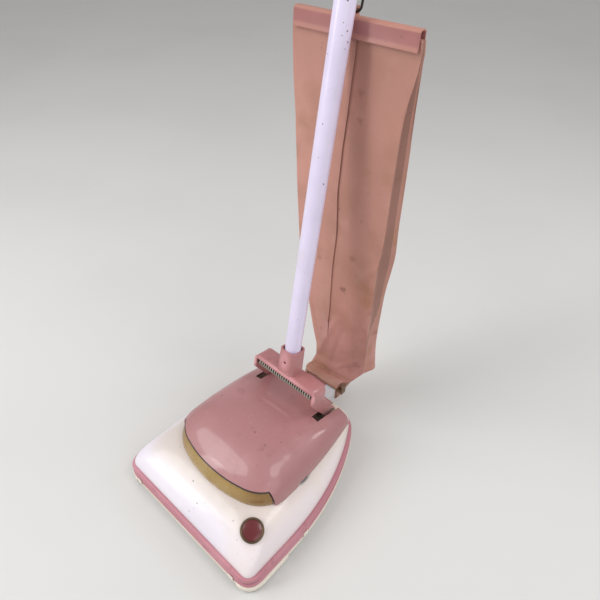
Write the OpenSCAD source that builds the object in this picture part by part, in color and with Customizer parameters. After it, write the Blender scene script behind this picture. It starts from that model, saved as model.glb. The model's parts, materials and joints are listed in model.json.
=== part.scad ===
// Toy upright vacuum cleaner: a pressed body on rollers, a domed hood with a lamp,
// a tube handle on a hinged yoke and a hanging dust bag.
// Millimetres, +Z up, front towards -Y, floor at Z = 0.
// Distances called "from the front" start at the front edge of the body's seam.

/* [Body] */
// Width of the body at its seam
body_w = 178; // [172:1:186]
// Length of the body from front to rear at its seam
body_len = 196; // [192:1:204]
// Height of the seam between body and bumper above the floor
seam_z = 22; // [20:0.5:26]
// Rise of the body shell above its seam
body_rise = 26.5; // [25:0.5:32]
// Thickness of the pressed sheet
sheet = 1.5; // [1:0.1:2]
// Depth of the sloping front in plan
front_slope = 34; // [30:1:38]
// Depth of the sloping sides in plan
side_slope = 28; // [24:1:32]
// Length of the stretch at the rear where the sides draw in
side_run = 141; // [131:1:151]
// Radius of the curve that draws the sides in towards the rear
side_radius = 260; // [250:5:320]

/* [Bumper and pan] */
// How far the bumper stands out from the body
band_out = 4.5; // [3:0.25:6]
// Height of the pan's underside above the floor
pan_z = 7.2; // [6:0.2:8]
// Thickness of the pan's sheet
pan_sheet = 1.6; // [1.2:0.1:2]
// Height of the front skids above the floor
skid_z = 2.5; // [2:0.25:4]
// Length of the front skids along the sides
skid_len = 45; // [35:1:55]
// Width of a clinch tab
tab_w = 6; // [4:0.5:9]
// Height of a clinch tab over the pan's rim
tab_h = 5; // [3:0.25:6]

/* [Hood and lamp] */
// Width of the hood at its foot
hood_w = 139; // [134:1:142]
// Distance of the hood's foot from the front
hood_front = 30; // [29:0.5:34]
// Distance of the hood's open rear edge from the body's rear
hood_rear = 20; // [16:1:22]
// Height of the hood's top over the seam
hood_top = 58; // [55:1:64]
// Height of the hood's front lip over the seam
lip_h = 42; // [40:0.5:45]
// Distance of the window's side posts from the front
post_y = 57.5; // [54:0.5:60]
// Distance of the hood's crest from the front
crest_y = 90; // [85:1:96]
// Thickness of the lamp's lens
lens_t = 1.8; // [1.4:0.1:2.4]
// Width of a slot for a yoke arm
slot_w = 8.1; // [7:0.1:9]
// Distance of the slots' front end from the body's rear
slot_y = 54; // [50:1:58]
// Diameter of the lamp bulb
bulb_d = 11.5; // [9:0.5:13]
// Height of the bulb's axis over the body shell
lamp_h = 9.8; // [9.4:0.2:12]

/* [Medallion] */
// Diameter of the medallion
medal_d = 22; // [20:0.5:24]
// Sideways place of the medallion
medal_x = 67.2; // [64:0.2:69]
// Distance of the medallion from the front
medal_y = 27.6; // [26:0.2:30]
// Tilt of the medallion towards the front corner
medal_tilt = 21; // [18:1:24]

/* [Handle] */
// Backward lean of the handle when it stands
lean = 10.7; // [8:0.1:13]
// Distance of the handle's pivot from the body's rear
pivot_y = 27; // [25:0.5:30]
// Height of the handle's pivot over the body shell
pivot_h = 7.5; // [7.3:0.1:8]
// Diameter of the hinge rod
hinge_d = 5; // [4:0.25:6]
// Width of the yoke over its arms
yoke_w = 82; // [80:0.5:84]
// Depth of the yoke's bar
yoke_d = 18.4; // [18:0.2:22]
// Height of the yoke's top over the pivot, along the tube
yoke_top = 49.4; // [46:0.5:56]
// Distance of the tube's axis in front of the pivot
tube_ahead = 29.2; // [28:0.2:31]
// Thickness of the yoke's arms
arm_t = 2.8; // [2.2:0.1:3]
// Height of the square socket
socket_h = 27; // [22:0.5:34]
// Outer diameter of the tube
tube_d = 16; // [15:0.25:16.5]
// Wall of the tube
tube_wall = 1.2; // [0.8:0.1:2]
// Length of the handle over the yoke
handle_len = 499; // [470:1:540]
// Length of the hand grip
grip_len = 106; // [80:1:110]
// Outer diameter of the hand grip
grip_d = 22; // [20:0.5:26]

/* [Yoke spring] */
// Number of turns
spring_turns = 24; // [18:1:30]
// Outer diameter of the coil
spring_d = 8; // [7.6:0.1:8.2]
// Diameter of the wire
wire_d = 1.2; // [1:0.05:1.3]
// Length of the coil
spring_len = 73; // [68:0.5:74]

/* [Bag] */
// Width of the bag at its top
bag_w = 116; // [100:1:118]
// Height of the bag clip's top over the seam
clip_top = 398; // [380:1:410]
// Height of the bag clip
clip_h = 14; // [12:0.5:18]
// Distance of the bag clip's middle behind the body's rear
clip_y = 26.8; // [25:0.2:29]
// Depth of the bag at its fullest
bag_deep = 20; // [16:0.5:24]
// Width of the spout that carries the bag
spout_w = 40; // [36:0.5:42]
// Height of the spout
spout_h = 12; // [10:0.5:12.5]
// Reach of the spout behind the body
spout_out = 16; // [14:0.5:20]

/* [Running gear] */
// Diameter of a rear wheel
wheel_d = 30; // [28:0.5:32]
// Width of a rear wheel
wheel_w = 9; // [7:0.5:10]
// Track of the rear wheels
wheel_track = 78.2; // [76:0.2:80]
// Distance of the rear axle from the body's rear
axle_y = 28; // [27:0.5:32]
// Diameter of the rear axle
axle_d = 5; // [4:0.25:6]
// Diameter of the front roller
roller_d = 20; // [18:0.5:22]
// Length of the front roller
roller_len = 132; // [120:1:136]
// Distance of the front roller from the front
roller_y = 24; // [22:0.5:26]
// Diameter of the roller's axle
roller_axle_d = 4; // [3:0.25:5]

/* [Power] */
// Diameter of a battery cell
cell_d = 33.2; // [30:0.2:33.6]
// Length of a battery cell
cell_len = 60.5; // [56:0.5:61]
// Distance of the battery's middle behind the roller's axis
cell_y = 51; // [49:0.5:53]
// Diameter of the motor
motor_d = 24; // [20:0.5:26]
// Length of the motor
motor_len = 32; // [26:0.5:34]
// Distance of the fan's axis ahead of the rear axle
fan_y = 40; // [38:0.5:42]
// Height of the fan's axis over the floor
fan_z = 28; // [27.5:0.1:28.4]
// Outer diameter of the fan housing
fan_d = 35; // [32:0.5:36]

/* [Hidden] */
$fn = 48;

// Colours
pink = [0.72, 0.44, 0.44];
cream = [0.93, 0.90, 0.84];
amber = [0.72, 0.60, 0.30];
steel = [0.62, 0.60, 0.56];
brass = [0.78, 0.62, 0.32];
vinyl = [0.75, 0.50, 0.43];
dark = [0.16, 0.15, 0.14];

// Lip of the pan that shows under the bumper
pan_lip = 0.7;

// Clearances
fixed_fit = 0.02;
turn_fit = 0.06;
seat = 0.3;
eps = 0.01;

// Levels
plateau = seam_z + body_rise;
pan_top = pan_z + pan_sheet;

// Places along the body, from the front
side_start = body_len - side_run;
hood_back = body_len - hood_rear;
slot_at = body_len - slot_y;
pivot_at = body_len - pivot_y;
axle_at = body_len - axle_y;
clip_at = body_len + clip_y;

// The battery and the fan share out the room between the roller and the rear axle
cell_to_fan = 53;
room = (axle_at - roller_y) / (cell_y + cell_to_fan + fan_y);
cell_at = roller_y + cell_y * room;
fan_at = axle_at - fan_y * room;

// Plan outlines: steps along the front, the corners, the sides and the rear
front_steps = 6;
corner_steps = 6;
side_steps = 8;
rear_steps = 3;
front_corner = 10;
corner_grow = 18;
rear_corner = 12;

// Powers of the rounded slopes of the body and of the hood
front_power = 1.6;
side_power = 1.9;
dome_front = 2.05;
dome_side = 2.6;
dome_rear = 1.65;

// The side slope steepens towards the rear until the wall is nearly upright
fade_end = body_len - 18;
fade_len = 88;
fade_least = 0.08;

// The rear slopes down from the hood's rear edge
rear_slope = hood_rear;

// Opening in the body's top, under the hood
open_w = 64;
open_front = 66;
open_end = 84;
open_rear = body_len - open_end;
open_corner = 6;
body_rings = 7;

// The hood's plan
hood_bow = 17;
hood_end = body_len - 1;
hood_corner = 24;
hood_rear_corner = 10;
hood_taper = 116;
hood_taper_y = body_len - hood_taper;
hood_taper_radius = 480;
hood_dip = 4;
hood_rings = 10;
lens_rings = 4;
lens_behind_lip = 4;

// The lamp
lamp_cap_d = 9.2;
lamp_cap_len = 11;
lamp_cap_back = 8;
lamp_plate_w = 18;
lamp_plate_h = 8;
lamp_plate_t = 1.5;
lamp_foot_t = 1.2;
reflector_d = 2 * (lamp_h - lamp_foot_t - seat);
bulb_neck = 3.6;
bulb_foot = lamp_cap_len - lamp_cap_back;

// The hinge bracket
hinge_in = 6;
hinge_foot = 18;
hinge_foot_t = 1.2;
hinge_ear = 10;

// The handle's frame: pivot at its origin, tube along its Z axis
pivot_z = plateau + pivot_h;
arm_r = 6.5;
bar_t = 3;
lip_drop = 5;
arm_drop = 15;
corner_r = 7;
socket_foot = 20;
socket_head = 19;
socket_chamfer = 2.6;
socket_wall = 1.5;
socket_pocket = 5;
slot_mid = yoke_w / 2 - arm_t / 2 + 1.35;
bar_front = -tube_ahead - yoke_d / 2;
bar_back = -tube_ahead + yoke_d / 2;
spring_in = 0.4;
spring_y = bar_front + spring_in + spring_d / 2;
spring_z = yoke_top - lip_drop - 0.8 - spring_d / 2;
rod_d = spring_d - 2 * wire_d - 1.2;
rod_skin = 0.8;
tube_top = yoke_top + handle_len - 4;
rivet_d = 2.8;
rivet_z = yoke_top + socket_h * 0.5;

// The hanger of the bag: a band round the tube, a link and a lug on the clip
band_h = 8;
band_t = 1;
ear_t = 2.4;
hook_wire = 1.8;
hook_half = 4.2;
ear_hole = 3.6;
lug_h = 6;
lug_z = seam_z + clip_top + 3;
ear_back = tube_d / 2 + 6.6;
ear_up = yoke_top + 335.6 + (clip_top - 398) / cos(lean);

// The bag
clip_t = 1;
clip_d = 7.4;
spout_t = 1.2;
spout_top = plateau - sheet - 1;
spout_low = spout_top - spout_h;
spout_end = body_len + spout_out;
spout_start = body_len - rear_slope;
clamp_t = 1.2;
clamp_d = 7;
clamp_from_end = 3;
clamp_tab = 9;
clamp_rise = 11;

// The running gear
wheel_z = wheel_d / 2;
hub_d = 21;
hub_x = wheel_track / 2 - wheel_w / 2;
bracket_t = 2.5;
roller_z = roller_d / 2;
cap_t = 1.3;
axle_reach = 6;

// The battery
door_gap = 0.3;
door_t = 1.4;
door_w = 132;
door_len = 42;
door_y = cell_at - door_len / 2;
rail_t = 2;
cell_gap = 0.4;
cell_z = pan_z - door_gap + 0.2 + cell_d / 2;
cradle_wall = 1.7;
cradle_x = cell_len + cell_gap / 2 + 2.1;
cradle_y = cell_d / 2 + 0.3;
cradle_top = 30;
contact_t = 0.8;

// The blower
fan_wall = 1.3;
fan_w = 30;
shaft_d = 3;
impeller_d = 28;
blades = 8;

// The switch
switch_x = 24;
switch_row = 52;
switch_y = body_len - switch_row;
switch_w = 16;
switch_d = 10;
switch_h = 6.2;
knob_w = 3;
switch_travel = 4;

// The part's origin lies on the floor under the middle of its bounding box
grip_back = pivot_at - (tube_ahead - grip_d / 2) * cos(lean) + (yoke_top + handle_len - 6) * sin(lean);
front_end = -band_out - 1.1;
mid_y = (front_end + grip_back) / 2;

function bezier(a, b, c, t) = (1 - t) * (1 - t) * a + 2 * t * (1 - t) * b + t * t * c;

// Half width of the body at its seam, a distance y from the front
function side_x(y) = y <= side_start
    ? body_w / 2
    : body_w / 2 - side_radius + sqrt(pow(side_radius, 2) - pow(y - side_start, 2));

// Share of the full side slope at a distance y from the front
function slope_share(y) = max(fade_least, min(1, (fade_end - y) / fade_len));

// Share of a rounded slope's depth at the share f of its height, and the way back
function slope_in(f, power) = 1 - pow(1 - pow(f, power), 1 / power);
function slope_up(share, power) = share >= 1 ? 1 : share <= 0 ? 0 : pow(1 - pow(1 - share, power), 1 / power);

// Size of a dome's ring at the share s of its height
function dome(s, power) = pow(1 - pow(s, power), 1 / power);

// Right half of a plan outline, from the middle of the front to the middle of the rear
function half_outline(front, bow, edge, rear, front_run, rear_run) =
    let (
        y1 = front + bow + front_run,
        y2 = rear - rear_run,
        w1 = edge(y1),
        w2 = edge(rear),
        xf = w1 - front_run,
        yf = front + bow * pow(xf / w1, 2)
    )
    concat(
        [for (i = [0 : front_steps]) let (x = xf * i / front_steps) [x, front + bow * pow(x / w1, 2)]],
        [for (i = [1 : corner_steps]) bezier([xf, yf], [w1, front + bow], [w1, y1], i / corner_steps)],
        [for (i = [1 : side_steps]) let (y = y1 + (y2 - y1) * i / side_steps) [edge(y), y]],
        [for (i = [1 : corner_steps])
            bezier([edge(y2), y2], [w2, rear], [w2 - rear_run, rear], i / corner_steps)],
        [for (i = [1 : rear_steps]) [(w2 - rear_run) * (1 - i / rear_steps), rear]]
    );

function whole(half) = concat(half, [for (i = [len(half) - 2 : -1 : 1]) [-half[i][0], half[i][1]]]);

// Plan of the body at its seam, grown by out
function plan(out) = whole(half_outline(
    -out, 0, function(y) side_x(y) + out, body_len + out, front_corner + 2 * out, rear_corner + out));

// Ring of the body shell at the share f of its rise, a wall inside its outer face
function body_ring(f, wall) =
    let (
        front_in = front_slope * slope_in(f, front_power) + wall,
        side_in = side_slope * slope_in(f, side_power),
        rear_in = rear_slope * slope_in(f, side_power) + wall,
        edge = function(y) side_x(y) - side_in * slope_share(y) - wall,
        corner = front_corner + corner_grow * slope_in(f, front_power)
    )
    [for (p = whole(half_outline(front_in, 0, edge, body_len - rear_in, corner, rear_corner)))
        [p[0], p[1], seam_z + (body_rise - wall) * f]];

// Ring of the opening in the body's top
function open_ring(z) =
    [for (p = whole(half_outline(open_front, 0, function(y) open_w / 2, open_rear, open_corner, open_corner)))
        [p[0], p[1], z]];

// Height of the body's surface under a point of the hood's foot
function body_z(x, y) =
    let (
        front_rise = slope_up(y / front_slope, front_power),
        side_rise = slope_up((side_x(y) - abs(x)) / (side_slope * slope_share(y)), side_power)
    )
    seam_z + body_rise * min(front_rise, side_rise);

function hood_x(y) = hood_w / 2 - (y > hood_taper_y ? pow(y - hood_taper_y, 2) / (2 * hood_taper_radius) : 0);

// Plan of the hood's foot, a wall inside its outer face
function hood_plan(wall) = whole(half_outline(
    hood_front + wall, hood_bow, function(y) hood_x(y) - wall, hood_end - wall, hood_corner, hood_rear_corner));

// Ring of the hood's dome at the share s of its height, a wall inside its outer face;
// its foot clears the body under the plan that lies deep inside the outer face
function hood_ring(s, wall, deep) =
    let (
        base = hood_plan(wall),
        under = hood_plan(deep),
        top = seam_z + hood_top - wall
    )
    [for (i = [0 : len(base) - 1])
        let (
            p = base[i],
            foot = max(body_z(under[i][0], under[i][1]), plateau - hood_dip) + seat,
            along = dome(s, p[1] < crest_y ? dome_front : dome_rear)
        )
        [p[0] * dome(s, dome_side), crest_y + (p[1] - crest_y) * along, foot + (top - foot) * s]];

// Share of the dome's height for ring i of n
function dome_share(i, n) = min(sin(90 * i / n), 0.998);

function ring_middle(ring) = [for (k = [0 : 2]) [for (p = ring) p[k]] * [for (p = ring) 1] / len(ring)];

// Two triangles for each pair of points on the rings that start at a and b
function ring_faces(a, b, n) =
    [for (i = [0 : n - 1]) let (k = (i + 1) % n) each [[a + i, b + k, a + k], [a + i, b + i, b + k]]];

// Solid between rings whose last one joins the first
module looped_skin(rings) {
    n = len(rings[0]);
    m = len(rings);
    polyhedron(
        points = [for (r = rings) each r],
        faces = [for (j = [0 : m - 1]) each ring_faces(j * n, ((j + 1) % m) * n, n)]
    );
}

// Solid between rings, closed at its first and last ring
module capped_skin(rings) {
    n = len(rings[0]);
    m = len(rings);
    first = n * m;
    last = first + 1;
    top = (m - 1) * n;
    polyhedron(
        points = concat([for (r = rings) each r], [ring_middle(rings[0]), ring_middle(rings[m - 1])]),
        faces = concat(
            [for (j = [0 : m - 2]) each ring_faces(j * n, (j + 1) * n, n)],
            [for (i = [0 : n - 1]) [first, i, (i + 1) % n]],
            [for (i = [0 : n - 1]) [last, top + (i + 1) % n, top + i]]
        )
    );
}

module from_front() {
    translate([0, -mid_y, 0]) children();
}

module on_handle() {
    translate([0, pivot_at - mid_y, pivot_z]) rotate([-lean, 0, 0]) children();
}

// Bar along X, centred
module bar_x(d, len) {
    rotate([0, 90, 0]) cylinder(d = d, h = len, center = true);
}

// Bar along Y, from the front to the back
module bar_y(d, len) {
    rotate([-90, 0, 0]) cylinder(d = d, h = len);
}

// Ring along X with a bore, centred
module washer_x(d, bore, len) {
    difference() {
        bar_x(d, len);
        bar_x(bore, len + 1);
    }
}

// Block between two corners
module block(low, high) {
    translate(low) cube(high - low);
}

module both_sides() {
    for (s = [-1, 1]) scale([s, 1, 1]) children();
}

// The body: shell, pan and bumper

module body_shell() {
    steps = [for (i = [0 : body_rings]) sin(90 * i / body_rings)];
    cut = fixed_fit + 0.3;
    color(cream) from_front() difference() {
        looped_skin(concat(
            [for (f = steps) body_ring(f, 0)],
            [open_ring(plateau), open_ring(plateau - sheet)],
            [for (i = [body_rings : -1 : 0]) body_ring(steps[i], sheet)]
        ));
        block([-spout_w / 2 - cut, spout_start, spout_low - cut],
              [spout_w / 2 + cut, body_len + 2, spout_top + cut]);
    }
}

module pan_tab() {
    block([-tab_w / 2, -band_out - 1.1, pan_z], [tab_w / 2, -band_out + 1, pan_top - eps]);
    block([-tab_w / 2, -band_out - 1.1, pan_z], [tab_w / 2, -band_out - 0.1, pan_top + tab_h]);
}

module pan_tabs() {
    tab_front = body_w / 2 - 19;
    tab_side = 70.5;
    for (s = [-1, 1]) translate([s * tab_front, 0, 0]) pan_tab();
    translate([side_x(tab_side), tab_side, 0]) rotate([0, 0, 90]) pan_tab();
    translate([-side_x(tab_side), tab_side, 0]) rotate([0, 0, -90]) pan_tab();
    translate([0, body_len, 0]) rotate([0, 0, 180]) pan_tab();
}

module skids() {
    near = body_w / 2 - 12;
    translate([0, 0, skid_z]) linear_extrude(pan_top - eps - skid_z) intersection() {
        difference() {
            polygon(plan(band_out + 1));
            polygon(plan(band_out - 1));
        }
        for (s = [-1, 1]) translate([s * (near + 50), 0]) square([100, 2 * skid_len], center = true);
    }
}

module pan_openings() {
    slot = roller_d + 3;
    tall = pan_sheet + 2;
    block([-roller_len / 2 - 1.4, roller_y - slot / 2, pan_z - 1],
          [roller_len / 2 + 1.4, roller_y + slot / 2, pan_z - 1 + tall]);
    translate([0, roller_y, pan_z + pan_sheet / 2])
        cube([roller_len + 2 * axle_reach + 2, roller_axle_d + 1, tall], center = true);
    for (s = [-1, 1]) translate([s * wheel_track / 2, axle_at, pan_z + pan_sheet / 2])
        cube([wheel_w + 4, wheel_d + 4, tall], center = true);
    translate([0, cell_at, pan_z + pan_sheet / 2])
        cube([2 * cell_len + 4, cell_d + 1.8, tall], center = true);
    block([switch_x - knob_w / 2 - 1, switch_y - knob_w / 2 - 0.5, pan_z - 1],
          [switch_x + knob_w / 2 + switch_travel + 1, switch_y + knob_w / 2 + 0.5, pan_z - 1 + tall]);
}

module door_rails() {
    side = door_w / 2 + 0.4;
    low = pan_z - door_gap - door_t - 0.3 - 1;
    both_sides() {
        block([side, door_y, low], [side + rail_t, door_y + door_len, pan_z + eps]);
        block([side - 2.4, door_y, low], [side + eps, door_y + door_len, low + 1]);
    }
}

module base_pan() {
    color(cream) from_front() {
        difference() {
            translate([0, 0, pan_z]) linear_extrude(pan_sheet) polygon(plan(band_out + pan_lip));
            pan_openings();
        }
        translate([0, 0, pan_top - eps]) linear_extrude(seam_z - pan_top + eps) difference() {
            polygon(plan(0));
            polygon(plan(-sheet));
        }
        skids();
        pan_tabs();
        door_rails();
    }
}

// One rib of the bumper
module band_rib(out, low, high) {
    translate([0, 0, low]) linear_extrude(high - low) difference() {
        polygon(plan(out));
        polygon(plan(0.1));
    }
}

module bumper_strip() {
    low = pan_top + fixed_fit;
    high = seam_z - fixed_fit;
    rib = (high - low) * 0.4;
    color(pink) from_front() {
        band_rib(band_out, low, low + rib);
        band_rib(band_out * 0.7, low + rib - eps, high - rib + eps);
        band_rib(band_out * 0.9, high - rib, high);
    }
}

// The medallion stands square to the body's slope at the front corner
module on_medal() {
    drop = 1.5;
    from_front() translate([medal_x, medal_y, body_z(medal_x, medal_y) - drop])
        rotate([0, 0, -45]) rotate([0, medal_tilt, 0]) children();
}

module medallion_bezel() {
    color([0.28, 0.24, 0.18]) on_medal() difference() {
        cylinder(d = medal_d, h = 2.4);
        translate([0, 0, 1]) cylinder(d = medal_d - 4, h = 3);
    }
}

module medallion_disc() {
    color([0.42, 0.05, 0.06]) on_medal() translate([0, 0, 1 + fixed_fit])
        cylinder(d = medal_d - 4 - 2 * fixed_fit, h = 0.9);
}

// The hood and the lamp

module hood() {
    shares = [for (i = [0 : hood_rings]) dome_share(i, hood_rings)];
    big = 400;
    color(pink) from_front() difference() {
        capped_skin(concat(
            [for (i = [hood_rings : -1 : 0]) hood_ring(shares[i], sheet, sheet)],
            [for (s = shares) hood_ring(s, 0, sheet)]
        ));
        block([-big, hood_back, 0], [big, big, big]);
        block([-big, -big, 0], [big, post_y, seam_z + lip_h]);
        both_sides() block([slot_mid - slot_w / 2, slot_at, 0], [slot_mid + slot_w / 2, big, big]);
    }
}

module headlight_lens() {
    share = (lip_h + lens_behind_lip - body_rise) / (hood_top - body_rise);
    shares = [for (i = [0 : lens_rings]) share * i / lens_rings];
    out = sheet + 0.3;
    deep = out + lens_t;
    color(amber, 0.9) from_front() intersection() {
        looped_skin(concat(
            [for (s = shares) hood_ring(s, out, deep)],
            [for (i = [lens_rings : -1 : 0]) hood_ring(shares[i], deep, deep)]
        ));
        block([-200, 0, 0], [200, post_y - seat, 200]);
    }
}

// The lamp's axis, from its socket towards the lens
module on_lamp() {
    bracket_y = open_front - 4;
    from_front() translate([0, bracket_y, plateau + lamp_h]) rotate([90, 0, 0]) children();
}

module lamp_bulb() {
    color([0.9, 0.9, 0.85], 0.5) on_lamp() rotate_extrude() union() {
        intersection() {
            translate([0, bulb_foot + bulb_d / 2 - 1]) circle(d = bulb_d);
            translate([0, bulb_foot]) square([bulb_d, 2 * bulb_d]);
        }
        translate([0, bulb_foot]) square([bulb_neck, bulb_d / 3]);
    }
}

module lamp_cap() {
    tip = lamp_cap_d / 4;
    color(brass) on_lamp() translate([0, 0, -lamp_cap_back]) {
        cylinder(d = lamp_cap_d, h = lamp_cap_len - fixed_fit);
        translate([0, 0, -tip]) cylinder(r = tip, h = tip + eps);
    }
}

module lamp_reflector() {
    r = reflector_d / 2;
    bore = lamp_cap_d / 2 + 0.2;
    foot = lamp_plate_t + 0.1;
    lip = 0.8;
    color(steel) on_lamp() rotate_extrude()
        polygon([
            [bore, foot], [r, foot + r / 2], [r, foot + r / 2 + lip],
            [r - lip, foot + r / 2 + lip], [bore, foot + lip]
        ]);
}

module lamp_bracket() {
    w = lamp_plate_w;
    color(steel) on_lamp() difference() {
        union() {
            translate([-w / 2, -lamp_h, 0]) cube([w, lamp_h + lamp_plate_h, lamp_plate_t]);
            translate([-w / 2, -lamp_h, 0]) cube([w, lamp_foot_t, w * 0.55]);
        }
        translate([0, 0, -1]) cylinder(d = lamp_cap_d + 2 * fixed_fit, h = lamp_plate_t + 2);
    }
}

// The hinge of the handle

module hinge_bracket() {
    inner = yoke_w / 2 - arm_t - hinge_in;
    ear_r = hinge_ear / 2;
    deep = hinge_foot / 2;
    color(steel) from_front() difference() {
        union() {
            block([-inner, pivot_at - deep, plateau + eps], [inner, pivot_at + deep, plateau + hinge_foot_t]);
            both_sides() {
                block([inner - bracket_t, pivot_at - ear_r, plateau + eps], [inner, pivot_at + ear_r, pivot_z]);
                translate([inner - bracket_t / 2, pivot_at, pivot_z]) bar_x(hinge_ear, bracket_t);
            }
        }
        translate([0, pivot_at, pivot_z]) bar_x(hinge_d + 2 * fixed_fit, yoke_w);
    }
}

module hinge_rod() {
    color(steel) from_front() translate([0, pivot_at, pivot_z]) bar_x(hinge_d, yoke_w + 4.4);
}

module hinge_clips() {
    clip = 1.2;
    color(steel) from_front() for (s = [-1, 1])
        translate([s * (yoke_w / 2 + 0.3 + clip / 2), pivot_at, pivot_z])
            washer_x(2 * hinge_d, hinge_d + 2 * fixed_fit, clip);
}

// The handle

module yoke_arm() {
    x = yoke_w / 2 - arm_t;
    hull() {
        translate([x, bar_front, yoke_top - arm_drop - 2]) cube([arm_t, yoke_d, 2.2]);
        translate([x + arm_t / 2, 0, 0]) bar_x(2 * arm_r, arm_t, $fn = 32);
    }
}

module yoke_bar() {
    inside = yoke_w / 2 - arm_t;
    difference() {
        hull() {
            for (s = [-1, 1]) translate([s * (yoke_w / 2 - corner_r), bar_front, yoke_top - corner_r])
                rotate([-90, 0, 0]) cylinder(r = corner_r, h = yoke_d, $fn = 32);
            block([-yoke_w / 2, bar_front, yoke_top - arm_drop], [yoke_w / 2, bar_back, yoke_top - arm_drop + 1]);
        }
        block([-inside, bar_front - 1, 0], [inside, bar_back + 1, yoke_top - bar_t]);
    }
    block([-inside - 1, bar_front, yoke_top - lip_drop], [inside + 1, bar_front + 1.6, yoke_top - bar_t + 1]);
    block([-inside - 1, bar_back - 1.6, yoke_top - 9], [inside + 1, bar_back, yoke_top - bar_t + 1]);
}

// Square of side w with its corners cut off
module cut_square(w) {
    a = w / 2;
    b = a - socket_chamfer;
    polygon([[-b, -a], [b, -a], [a, -b], [a, b], [b, a], [-b, a], [-a, b], [-a, -b]]);
}

module yoke_socket() {
    translate([0, -tube_ahead, yoke_top - 1]) hull() {
        linear_extrude(1) cut_square(socket_foot);
        translate([0, 0, socket_h]) linear_extrude(1) cut_square(socket_head);
    }
}

// The socket is open round the tube at its top
module socket_pockets() {
    w = socket_head - 2 * socket_wall;
    translate([0, -tube_ahead, yoke_top + socket_h - socket_pocket])
        linear_extrude(socket_pocket + 1) cut_square(w);
}

module yoke() {
    color(pink) on_handle() difference() {
        union() {
            yoke_bar();
            yoke_socket();
            both_sides() yoke_arm();
        }
        socket_pockets();
        translate([0, -tube_ahead, yoke_top - 2 * bar_t])
            cylinder(d = tube_d + 2 * fixed_fit, h = socket_h + 3 * bar_t);
        translate([0, -tube_ahead - socket_foot, rivet_z]) bar_y(rivet_d + 2 * fixed_fit, socket_foot);
        bar_x(hinge_d + 2 * turn_fit, yoke_w + 2);
        translate([0, spring_y, spring_z]) bar_x(rod_d + 2 * fixed_fit, yoke_w - 2 * rod_skin);
    }
}

// Centre line of the spring: a helix along X with a short straight tail at each end
function coil_point(turn) =
    let (r = (spring_d - wire_d) / 2)
    [(turn / spring_turns - 0.5) * (spring_len - wire_d), r * sin(360 * turn), -r * cos(360 * turn)];

function coil_path() =
    let (
        n = spring_turns * 8,
        pts = [for (i = [0 : n]) coil_point(i / 8)],
        tail = function(a, b) a + (a - b) * wire_d / norm(a - b)
    )
    concat([tail(pts[0], pts[1])], pts, [tail(pts[n], pts[n - 1])]);

// Six-sided ring of the wire about point i of its path
function wire_ring(path, i) =
    let (
        n = len(path) - 1,
        run = path[min(i + 1, n)] - path[max(i - 1, 0)],
        ahead = run / norm(run),
        side = cross(ahead, [1, 0, 0]) / norm(cross(ahead, [1, 0, 0])),
        up = cross(side, ahead)
    )
    [for (k = [0 : 5]) path[i] + wire_d / 2 * (cos(60 * k) * side + sin(60 * k) * up)];

// Least gap between neighbouring turns, measured on the path's points
function coil_gap(path) =
    min([for (i = [1 : len(path) - 11]) for (k = [6 : 10]) norm(path[i + k] - path[i])]) - wire_d;

module yoke_spring() {
    path = coil_path();
    echo(least_gap_of_spring = coil_gap(path));
    color(steel) on_handle() translate([0, spring_y, spring_z])
        capped_skin([for (i = [0 : len(path) - 1]) wire_ring(path, i)]);
}

module spring_rod() {
    color(steel) on_handle() translate([0, spring_y, spring_z]) bar_x(rod_d, yoke_w - 2 * rod_skin - 2 * fixed_fit);
}

module handle_tube() {
    low = yoke_top - bar_t;
    color([0.93, 0.92, 0.95]) on_handle() translate([0, -tube_ahead, low]) difference() {
        cylinder(d = tube_d, h = tube_top - low);
        translate([0, 0, -1]) cylinder(d = tube_d - 2 * tube_wall, h = tube_top - low + 2);
        translate([0, -tube_d, rivet_z - low]) bar_y(rivet_d + 2 * fixed_fit, tube_d);
    }
}

module tube_rivet() {
    len = socket_foot / 2 - tube_d / 2 + tube_wall - 0.6;
    color(dark) on_handle() translate([0, -tube_ahead - socket_foot / 2 + 0.6, rivet_z]) bar_y(rivet_d, len);
}

module hand_grip() {
    low = yoke_top + handle_len - grip_len;
    r = grip_d / 2;
    wall = tube_d / 2 + fixed_fit;
    end = grip_len;
    color(pink) on_handle() translate([0, -tube_ahead, low]) difference() {
        rotate_extrude() polygon(concat(
            [[wall, 0], [r - 0.6, 0], [r, 1.4], [r, 4], [r - 1, 6]],
            [for (i = [1 : 15]) [r - 1 - 0.6 * sin(180 * i / 16), 6 + (end - 20) * i / 16]],
            [[r - 1, end - 14], [r, end - 12]],
            [for (a = [0 : 15 : 75]) [r * cos(a), end - 9 + 9 * sin(a)]],
            [[0, end], [0, tube_top - low + 0.1], [wall, tube_top - low + 0.1]]
        ));
        for (k = [0 : 6]) translate([0, 0, 16 + k * (end - 40) / 6])
            rotate_extrude() translate([r + 0.3, 0]) circle(r = 1.6);
    }
}

// The bag and what carries it

function ear_place() = [0, pivot_at + (ear_back - tube_ahead) * cos(lean) + ear_up * sin(lean),
                        pivot_z - (ear_back - tube_ahead) * sin(lean) + ear_up * cos(lean)];

module hanger_band() {
    color(steel) on_handle() translate([0, -tube_ahead, ear_up]) difference() {
        union() {
            translate([0, 0, -band_h / 2]) cylinder(d = tube_d + 2 * band_t, h = band_h);
            block([-ear_t / 2, tube_d / 2, -band_h / 2], [ear_t / 2, ear_back + 3.4, band_h / 2]);
        }
        translate([0, 0, -band_h]) cylinder(d = tube_d + 2 * fixed_fit, h = 2 * band_h);
        translate([0, ear_back, 0]) bar_x(ear_hole, 2 * ear_t);
    }
}

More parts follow.
